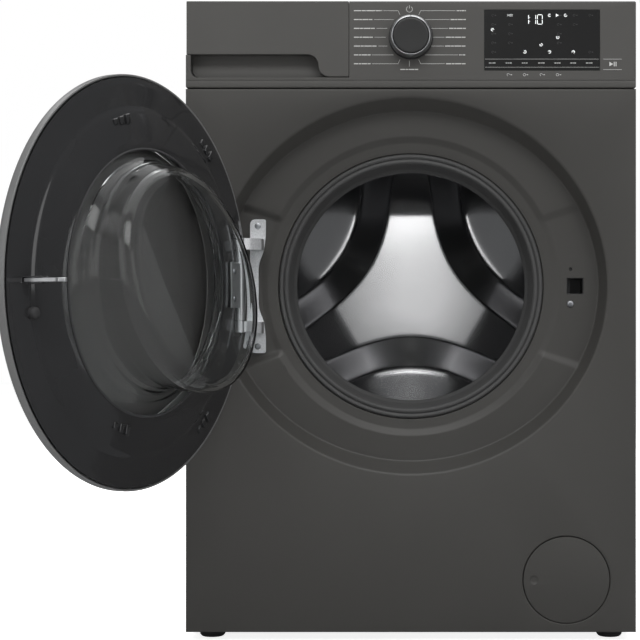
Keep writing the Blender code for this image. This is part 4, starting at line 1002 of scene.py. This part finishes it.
def screw(place, normal, radius, height):
    """One pan-head screw with a crossed slot, its head standing on the place along the normal."""
    profile = [(0.0, -0.0004), (radius, -0.0004), (radius, height * 0.25), (radius * 0.82, height * 0.75),
               (radius * 0.45, height), (0.0, height)]
    head = turned("screw", profile, (0.0, 0.0), "Z", 24)
    arm, thick = (-radius * 0.55, radius * 0.55), (-radius * 0.13, radius * 0.13)
    deep = (height * 0.35, height + 0.001)
    carve(head, block("slot", arm, thick, deep), block("slot", thick, arm, deep))
    turn = Vector((0, 0, 1)).rotation_difference(Vector(normal)).to_matrix().to_4x4()
    head.data.transform(Matrix.Translation(place) @ turn)
    return head


def screws(name, body, places, normal, radius=0.0046, height=0.0022, open_door=False):
    group = joined(name, [screw(place, normal, radius, height) for place in places])
    if open_door:
        opened(group)
    dress(group, "zinc", body)


# ---------------------------------------------------------------- drum

DRUM_LOW, DRUM_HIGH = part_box("drum_shell")
DRUM_RADIUS = DRUM_HIGH.x - 0.0005
BACK_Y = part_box("drum_back")[1].y
STAR_RISE, STAR_HALF, STAR_BLEND, STAR_DEPTH = 0.0265, 0.0265, 0.053, 0.0185
FLANK, DISH_SLOPE, ARM_BEND, ARM_SLOPE = 0.04, 0.17, 0.116, 0.05
STAR_END, STAR_FADE = 0.229, 0.03
VISIBLE_BACK = 0.19        # the part of the back that is drawn finely
HOLE = 0.0019               # radius of the drum wall's holes


def ramp(value, ease):
    """Zero below zero and the value itself above, with a rounded corner."""
    return (value + math.sqrt(value * value + ease * ease)) / 2


def star_rise(radius, angle):
    """How far the drum's back is pressed forward: a three-armed star with bent-back arms, between dishes."""
    third = 2 * math.pi / 3
    from_dish = (angle - math.pi / 6 + third / 2) % third - third / 2
    from_arm = math.pi / 3 - abs(from_dish)
    reaches = [radius * math.sin(math.pi / 3 + side * from_dish) for side in (-1, 1)]
    nearest = -STAR_BLEND * math.log(sum(math.exp(-reach / STAR_BLEND) for reach in reaches))
    past = nearest - STAR_HALF
    flank = ramp(past, 0.0012) - ramp(past - FLANK, 0.005)
    rise = ramp(past - FLANK, 0.012)
    bend = ramp(radius * math.cos(from_arm) - ARM_BEND, 0.002)
    drop = STAR_DEPTH * flank / FLANK - DISH_SLOPE * rise + ARM_SLOPE * bend
    return (STAR_RISE - drop) * smooth_step((STAR_END - radius) / STAR_FADE)


def make_drum():
    make_drum_wall()
    make_drum_back()
    for k in range(3):
        make_lifter(k)


def make_drum_back():
    sides, outer = 288, DRUM_RADIUS - 0.0014
    fine, coarse = 84, 12
    radii = [VISIBLE_BACK * (k + 1) / fine for k in range(fine)]
    radii += [VISIBLE_BACK + (outer - VISIBLE_BACK) * (k + 1) / coarse for k in range(coarse)]
    sheets = []
    for shift, kept in ((-0.001, radii), (0.0, radii[3::6] + [outer])):
        rings = [[(0.0, BACK_Y - star_rise(0.0, 0.0) + shift, AXIS_Z)]]
        for radius in kept:
            ring = []
            for k in range(sides):
                a = 2 * math.pi * k / sides
                y = BACK_Y + shift - star_rise(radius, a)
                ring.append((radius * math.cos(a), y, AXIS_Z + radius * math.sin(a)))
            rings.append(ring)
        sheets.append(rings)
    back = loft("drum_back_pressing", sheets[0] + sheets[1][::-1], sharp=60.0)
    dress(back, "stainless", stands_for="drum_back")


def make_drum_wall():
    """The rolled drum: its folded mouth, and a wall punched with rows of small holes."""
    start, end = DRUM_LOW.y + 0.014, DRUM_HIGH.y
    line = behind(DRUM_LOW.y, [(0.159, 0.0085), (0.1585, 0.004), (0.1605, 0.001), (0.223, 0.003)])
    line += [(DRUM_RADIUS, start - 0.001), (DRUM_RADIUS, start)]
    mouth = turned("drum_mouth", stroke(rounded(line, 0.004, 4), 0.001))
    dress(mouth, "stainless", "drum")
    wall = punched_wall("drum_wall", DRUM_RADIUS, 0.001, start, end, 72, 15)
    # the wall takes the darker steel, which paints shade on the inside of the drum
    dress(wall, "stainless", stands_for="drum_shell", look="drum_steel")


def punched_wall(name, radius, thickness, start, end, columns, rows):
    """A cylinder of cells with a six-sided hole in each, staggered from row to row, and with real edges."""
    points, faces, index = [], [], {}

    def point(turn, along, layer):
        key = (round(turn * 4096) % (4096 * columns), round(along, 6), layer)
        if key not in index:
            a = 2 * math.pi * turn / columns
            r = radius + (0.5 - layer) * thickness
            index[key] = len(points)
            points.append((r * math.cos(a), along, AXIS_Z + r * math.sin(a)))
        return index[key]

    step, pitch = (end - start) / rows, 2 * math.pi * radius / columns
    for row in range(rows):
        shift = 0.5 * (row % 2)
        y0, y1 = start + row * step, start + (row + 1) * step
        for column in range(columns):
            t = column + shift
            rim = [(t, y0), (t + 0.5, y0), (t + 1, y0), (t + 1, y1), (t + 0.5, y1), (t, y1)]
            inner = []
            for k in range(6):
                a = math.radians(-150 + 60 * k)
                inner.append((t + 0.5 + HOLE * math.cos(a) / pitch, (y0 + y1) / 2 + HOLE * math.sin(a)))
            for k in range(6):
                n = (k + 1) % 6
                for layer in (0, 1):
                    faces.append([point(*rim[k], layer), point(*rim[n], layer),
                                  point(*inner[n], layer), point(*inner[k], layer)])
                faces.append([point(*inner[k], 0), point(*inner[n], 0),
                              point(*inner[n], 1), point(*inner[k], 1)])
    for column in range(columns):
        for half in (0.0, 0.5):
            for y, shift in ((start, 0.0), (end, 0.5 * ((rows - 1) % 2))):
                t = column + half + shift
                faces.append([point(t, y, 0), point(t + 0.5, y, 0), point(t + 0.5, y, 1), point(t, y, 1)])
    return solid(name, points, faces, 30.0)


def make_lifter(k):
    """A moulded paddle: a rounded wedge with sloped ends and a row of drain slots along its crest."""
    angle = math.radians(30 + 120 * k)
    out = Vector((math.cos(angle), 0, math.sin(angle)))
    across = Vector((-math.sin(angle), 0, math.cos(angle)))
    axis = Vector((0, 0, AXIS_Z))
    half, foot, height, steps = 0.027, 0.2318, 0.042, 28
    start, length = -0.13, 0.232
    rings = []
    for i in range(steps + 1):
        share = i / steps
        scale = 0.3 + 0.7 * math.sin(math.pi / 2 * min(1.0, min(share, 1 - share) / 0.16))
        rise = height * scale
        side = [(foot, half), (foot - rise * 0.22, half * 0.86), (foot - rise * 0.8, half * 0.42)]
        line = [(r, -w) for r, w in side] + [(foot - rise, 0.0)] + side[::-1]
        middle = axis + Vector((0, start + length * share, 0))
        rings.append([tuple(middle + out * r + across * w) for r, w in rounded(line, 0.008, 3)])
    paddle = loft(f"lifter_{k + 1}", rings, sharp=50.0)
    turn = Matrix.Translation(axis + out * (foot - height)) @ Matrix.Rotation(math.pi / 2 - angle, 4, "Y")
    slots = []
    for i in range(5):
        y = -0.085 + 0.035 * i
        slots.append(block("slot", (-0.0015, 0.0015), (y, y + 0.016), (-0.01, 0.01)))
        slots[-1].data.transform(turn)
    carve(paddle, *slots)
    dress(paddle, "tub_plastic", stands_for=f"drum_lifter_{k + 1}", look="lifter_grey")


# ---------------------------------------------------------------- door

DOOR_RADIUS = 0.2505
DOME = [(0.0, 0.021), (0.03, 0.0209), (0.06, 0.0205), (0.09, 0.0198), (0.11, 0.019), (0.13, 0.018),
        (0.15, 0.0168), (0.1705, 0.015)]
FRAME_FACE = [(0.1612, 0.0172), (0.168, 0.0164), (0.2055, 0.0077), (0.211, 0.0047), (0.2395, 0.002),
              (0.2462, 0.0007)]


def make_door():
    line = [
        (DOOR_RADIUS - 0.0004, -0.0005), (DOOR_RADIUS, -0.0012), (DOOR_RADIUS, -0.0082), (0.2494, -0.011),
        (0.2462, -0.0138), (0.24, -0.0146), (0.1735, -0.0158), (0.172, -0.0152), (0.172, -0.013),
        (0.2448, -0.0112), (0.2478, -0.0085), (0.2478, -0.0005),
    ]
    outer = turned("door_outer_shell", rounded(behind(RIM, line), 0.0012, 3, closed=True), sides=192)
    dress(opened(outer), "gloss_black", stands_for="door_outer_ring", look="rim_grey")
    make_inner_frame()
    make_catches()
    make_buffer_and_bead()
    make_window()
    make_bowl()
    make_hinge()
    make_hook()


def make_window():
    """The door's dark domed outer window, and the smoked lining behind it."""
    outline = stroke([(r, RIM - ahead) for r, ahead in DOME], 0.0025)
    outline[0], outline[-1] = (0.0, outline[0][1]), (0.0, outline[-1][1])
    window = turned("door_outer_window", outline, sides=160)
    dress(opened(window), "gloss_black", stands_for="door_window")
    lining = [(r, RIM - ahead + 0.0014) for r, ahead in DOME]
    back = [(r, y + 0.0004) for r, y in lining[::-1]]
    liner = turned("door_window_liner", lining + back, sides=160)
    dress(opened(liner), "gloss_black", "door", look="smoked_window")


def make_inner_frame():
    line = [(0.2462, -0.0005), (0.2395, 0.0008), (0.211, 0.0035), (0.2055, 0.0065), (0.168, 0.0152),
            (0.1612, 0.016)]
    inner = turned("door_inner_ring", stroke(rounded(behind(RIM, line), 0.0045, 5), 0.0024), sides=192)
    x, y = HINGE.x, HINGE.y
    carve(inner, block("hinge_window", (x - 0.0102, x + 0.0155), (y - 0.04, y + 0.04), (0.3925, 0.5275)))
    soften(inner, 0.0003, 2, 60.0)
    dress(opened(inner), "black_plastic", stands_for="door_inner_frame", look="frame_black")


def frame_surface(radius):
    """Where the inner frame's face lies at a radius from the door's middle."""
    for (r0, y0), (r1, y1) in zip(FRAME_FACE, FRAME_FACE[1:]):
        if radius <= r1:
            return RIM + y0 + (y1 - y0) * (radius - r0) / (r1 - r0)
    return RIM + FRAME_FACE[-1][1]


def make_catches():
    """Raised catches that hold the frame to the outer ring, and the hook's slotted housing."""
    blocks = []
    for x, z, turn in ((0.049, 0.191, 14), (-0.145, 0.173, -42), (0.055, -0.171, -16), (-0.139, -0.177, 40)):
        place = Matrix.Translation((x, frame_surface(math.hypot(x, z)), AXIS_Z + z))
        place = place @ Matrix.Rotation(math.radians(turn), 4, "Y")
        for k in range(3):
            along = -0.016 + 0.0115 * k
            catch = block("catch", (along, along + 0.0085), (-0.003, 0.0034 - 0.0008 * k),
                          about(0.0, 0.006 - 0.001 * k))
            soften(catch, 0.001, 3)
            bake(catch)
            catch.data.transform(place)
            blocks.append(catch)
    x = LATCH.x - 0.003
    housing = block("hook_housing", (x - 0.008, x + 0.0075), (RIM + 0.001, RIM + 0.03),
                    about(AXIS_Z, 0.0042))
    carve(housing, block("hook_slot", about(x, 0.05), (RIM + 0.004, RIM + 0.05), about(AXIS_Z, 0.0028)))
    soften(housing, 0.0022, 5)
    bake(housing)
    blocks.append(housing)
    dress(opened(joined("frame_catches", blocks)), "black_plastic", "door", look="frame_black")


def make_buffer_and_bead():
    """The rubber buffer under the hook, and the bead round the glass."""
    x, below = 0.208, 0.036
    foot = frame_surface(math.hypot(x, below)) - 0.0015
    line = [(0.0, 0.01), (0.004, 0.0096), (0.0062, 0.008), (0.007, 0.005), (0.007, 0.0), (0.0, 0.0)]
    pad = turned("frame_buffer", behind(foot, rounded(line, 0.0015)), (x, AXIS_Z - below), sides=40)
    dress(opened(pad), "black_rubber", "door")
    line = behind(RIM, [(0.1608, 0.0162), (0.1624, 0.018), (0.1598, 0.019), (0.1584, 0.0172)])
    seal = turned("glass_bead", rounded(line, 0.0012, 4, closed=True), sides=160)
    dress(opened(seal), "black_rubber", "door")


def make_bowl():
    """The pressed glass bowl: a flange, a waisted neck and a blunt end, deepest at the bottom."""
    sides = 160
    outer = [
        (0.1652, 0.0125, 0.0, 0.0), (0.15, 0.015, 0.0, 0.0015), (0.1395, 0.024, 0.001, 0.006),
        (0.135, 0.04, 0.007, 0.0085), (0.1345, 0.075, 0.022, 0.004), (0.131, 0.085, 0.026, 0.003),
        (0.121, 0.0892, 0.026, 0.0025), (0.06, 0.0917, 0.0135, 0.001),
    ]
    inner = [
        (0.1652, 0.009, 0.0, 0.0), (0.147, 0.0115, 0.0, 0.0015), (0.1355, 0.0235, 0.001, 0.006),
        (0.131, 0.0395, 0.007, 0.0085), (0.1305, 0.072, 0.022, 0.004), (0.127, 0.0805, 0.0255, 0.003),
        (0.119, 0.0848, 0.0255, 0.0025), (0.06, 0.0875, 0.0135, 0.001),
    ]

    turns = [2 * math.pi * k / sides for k in range(sides)]

    def rings(profile):
        return [[(radius * math.cos(a), RIM + depth - lean * math.sin(a),
                  AXIS_Z + lift + radius * math.sin(a))
                 for a in turns] for radius, depth, lean, lift in rounded(profile, 0.012, 6)]

    far, near = [(0.0, RIM + 0.0922, AXIS_Z)], [(0.0, RIM + 0.088, AXIS_Z)]
    bowl = loft("door_glass_bowl", [far] + rings(outer)[::-1] + rings(inner) + [near], sharp=60.0)
    dress(opened(bowl), "glass", stands_for="door_glass")


BRACKET_FLOOR = POCKET_FLOOR["left"] - SEAM_GAP
BRACKET_THICK = 0.0035
KNUCKLE = (0.048, 0.063)  # above and below the drum's axis


def make_hinge():
    make_bracket()
    make_barrel()


def make_bracket():
    """The cast bracket on the left pocket's floor, with its two knuckle arms and its screws."""
    x, y, floor = HINGE.x, HINGE.y, BRACKET_FLOOR
    left, right, waist = x + 0.0101, x + 0.0312, x + 0.0215
    upper = rounded([(right - 0.0022, 0.048), (right, 0.068), (right, 0.09), (left, 0.09)], 0.003, 4)
    lower = [(px, -dz) for px, dz in upper[::-1]]
    outline = rounded([*lower, (waist, -0.03), (waist, 0.03), *upper], 0.01, 6, closed=True)
    plate = slab("hinge_casting", [(px, AXIS_Z + dz) for px, dz in outline], (floor - BRACKET_THICK, floor))
    reach = rounded([
        (x, y + 0.006), (x + 0.003, y - 0.0035), (x + 0.0133, y + 0.0021), (x + 0.029, y + 0.015),
        (x + 0.029, floor - 0.001), (x + 0.0125, floor - 0.001), (x + 0.0083, y + 0.0156),
    ], 0.0025, 4, closed=True)
    joins, holes = [], []
    for low, high in ((AXIS_Z - KNUCKLE[1], AXIS_Z - KNUCKLE[0]), (AXIS_Z + KNUCKLE[0], AXIS_Z + KNUCKLE[1])):
        joins.append(upright("arm", reach, (low, high)))
        joins.append(rod("knuckle", 0.0065, (low, high), (x, y), "Z"))
        holes.append(rod("pin_hole", 0.0036, (low - 0.01, high + 0.01), (x, y), "Z", 32))
    carve(plate, *joins, operation="UNION")
    carve(plate, *holes)
    soften(plate, 0.0006, 3)
    dress(plate, "cast_aluminium", stands_for="hinge_bracket")
    places = [(x + 0.0205, floor - BRACKET_THICK, AXIS_Z + s * 0.081) for s in (-1, 1)]
    screws("hinge_screws", "cabinet", places, (0, -1, 0), 0.0042, 0.002)


def make_barrel():
    """The door's barrel between the knuckles, with its pins, the leaf under the frame and its screws."""
    x, y = HINGE.x, HINGE.y
    low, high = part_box("door_hinge_arm")
    pin, barrel, ends = 0.0032, 0.006, (0.413, 0.507)
    half = [(0.0, low.z), (pin - 0.0004, low.z), (pin, low.z + 0.0006), (pin, ends[0]), (barrel, ends[0])]
    profile = half + [(barrel, ends[1]), (pin, ends[1]), (pin, high.z - 0.0006), (pin - 0.0004, high.z),
                      (0.0, high.z)]
    arm = turned("hinge_barrel", profile, (x, y), "Z", SMALL)
    near, far, thick = RIM + 0.0041, RIM + 0.0142, 0.003
    line = [(x + 0.002, near), (x + 0.042, far), (x + 0.042, far + thick), (x + 0.002, near + thick)]
    carve(arm, upright("leaf", line, about(AXIS_Z, 0.03)), operation="UNION")
    soften(arm, 0.0005, 3)
    dress(opened(arm), "cast_aluminium", stands_for="door_hinge_arm")
    slope = Vector((near - far, 0.04, 0.0)).normalized()
    places = [(x + 0.03, near + (far - near) * 0.7 + thick, AXIS_Z + s * 0.018) for s in (-1, 1)]
    screws("leaf_screws", "door", places, slope, 0.004, 0.0018, open_door=True)


def make_hook():
    x = LATCH.x
    line = [
        (x - 0.012, 0.007), (x + 0.003, 0.0052), (x + 0.003, 0.05), (x + 0.006, 0.054),
        (x + 0.0025, 0.061), (x - 0.002, 0.061), (x - 0.003, 0.02), (x - 0.012, 0.014),
    ]
    eased = rounded(behind(RIM, line), 0.0018, 5, closed=True)
    hook = upright("latch_hook", eased, about(AXIS_Z, 0.0022))
    soften(hook, 0.0004, 3)
    dress(opened(hook), "zinc", stands_for="door_hook", look="bright_zinc")


# ---------------------------------------------------------------- body

def make_feet():
    """Threaded feet: a rubber pad, a hexagonal nut and the threaded stem."""
    cup = [(0.0, 0.0), (0.014, 0.0), (0.015, 0.0006), (0.017, 0.0028), (0.017, 0.0076), (0.0158, 0.0086),
           (0.006, 0.009), (0.0, 0.009)]
    nut = [(0.0055, 0.0086), (0.0124, 0.0086), (0.0124, 0.0108), (0.0112, 0.0116), (0.0055, 0.0116)]
    thread = [(0.0, 0.008)]
    for k in range(20):
        along = 0.0082 + k * 0.0021
        thread += [(0.005, along), (0.0044, along + 0.001)]
    thread.append((0.0, thread[-1][1]))
    for name in ("foot_front_left", "foot_front_right", "foot_rear_left", "foot_rear_right"):
        low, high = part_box(name)
        middle = ((low.x + high.x) / 2, (low.y + high.y) / 2)
        pad = turned(f"{name}_pad", behind(low.z, cup), middle, "Z", 64)
        dress(pad, "black_rubber", stands_for=name)
        dress(turned(f"{name}_nut", behind(low.z, nut), middle, "Z", 6, sharp=20.0), "zinc", BODY_OF[name])
        stem = turned(f"{name}_stem", behind(low.z, thread), middle, "Z", 32, sharp=20.0)
        dress(stem, "zinc", BODY_OF[name])


def make_worktop():
    """The lid: a slab with eased edges."""
    top = box("worktop_slab", *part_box("worktop"))
    soften(top, 0.003, 5)
    dress(top, "console_plastic", stands_for="worktop")


COVER_LOW, COVER_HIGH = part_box("rear_cover")


def make_rear_cover():
    """The screwed cover on the back, with a dome over the drum's pulley."""
    low, high, middle = COVER_LOW, COVER_HIGH, (0.0, AXIS_Z)
    plate = slab("rear_cover_plate", round_box_outline((low.x, low.z), (high.x, high.z), 0.012),
                 (low.y, low.y + SHEET))
    carve(plate, rod("hole", 0.175, about(low.y, 0.01), middle, sides=ROUND))
    dress(plate, "galvanised", stands_for="rear_cover")
    raised, flat = high.y - SHEET / 2, low.y + SHEET / 2
    line = [(0.0, raised), (0.156, raised), (0.169, flat), (0.18, flat)]
    profile = stroke(rounded(line, 0.006, 6), SHEET)
    profile[0], profile[-1] = (0.0, profile[0][1]), (0.0, profile[-1][1])
    dress(turned("rear_cover_dome", profile, middle), "galvanised", "cabinet")
    inset = 0.01
    heights = (low.z + inset, (low.z + high.z) / 2, high.z - inset)
    places = [(x, low.y + SHEET, z) for x in (low.x + inset, high.x - inset) for z in heights]
    places += [(0.0, low.y + SHEET, z) for z in heights[::2]]
    screws("rear_cover_screws", "cabinet", places, (0, 1, 0))


def make_side_presses():
    """Each side wall is pressed out a little over a large rectangle with round corners, to stiffen it."""
    low, high = SHELL_LOW, SHELL_HIGH
    inset, height, corner, depth, ease = 0.045, 0.06, 0.05, 0.002, 0.012
    section = [(0.0, -0.0004)] + [(ease * x, depth * y) for x, y in ((0, 0), (0.3, 0.2), (0.7, 0.8), (1, 1))]
    for side, face, tag in ((-1, -low.x, "left"), (1, high.x, "right")):
        rings = []
        for shrink, out in section:
            edge = round_box_outline((low.y + inset + shrink, low.z + height + shrink),
                                     (high.y - inset - shrink, high.z - height - shrink), corner - shrink, 10)
            rings.append([(side * (face + out), y, z) for y, z in edge])
        dress(loft(f"side_press_{tag}", rings, sharp=60.0), "galvanised", "cabinet")


def make_back_ribs():
    """Two long beads pressed into the back wall beside its cover, and one under the cover."""
    low, high, cover_low, cover_high = SHELL_LOW, SHELL_HIGH, COVER_LOW, COVER_HIGH
    places = []
    for side in (-1, 1):
        x = side * ((cover_high.x + high.x) / 2 + 0.002)
        places.append(((x, cover_low.z + 0.02), (x, cover_high.z - 0.06)))
    middle = (low.z + cover_low.z) / 2
    places.append(((cover_low.x + 0.02, middle), (cover_high.x - 0.02, middle)))
    section = ((0.0085, -0.0004), (0.0085, 0.0), (0.007, 0.0013), (0.0045, 0.0022), (0.0015, 0.0025))
    beads = []
    for (x0, z0), (x1, z1) in places:
        rings = []
        for half, out in section:
            edge = round_box_outline((x0 - half, z0 - half), (x1 + half, z1 + half), half * 0.999, 6)
            rings.append([(x, high.y + out, z) for x, z in edge])
        beads.append(loft("back_bead", rings, sharp=60.0))
    dress(joined("back_beads", beads), "galvanised", "cabinet")


# ---------------------------------------------------------------- carried-over nodes

def finish_cad_nodes():
    """Every CAD node that still shows gets its slot's material and smooth round faces."""
    for name, node in frame["nodes"].items():
        if node.hide_render:
            continue
        node.data.materials.clear()
        node.data.materials.append(LOOKS[SLOT_OF[name]])
        node.data.shade_smooth()
        node.data.set_sharp_from_angle(angle=math.radians(35))


make_stage()
make_front_panel()
make_flap()
make_console()
make_drawer()
make_knob()
make_legend()
make_display()
make_seal()
make_lock()
screws("lock_screw", "cabinet", [(LATCH.x - 0.0065, RECESS_FLOOR + 0.003, LATCH.z - 0.024)], (0, -1, 0))
make_drum()
make_door()
make_feet()
make_worktop()
make_rear_cover()
make_side_presses()
make_back_ribs()
finish_cad_nodes()
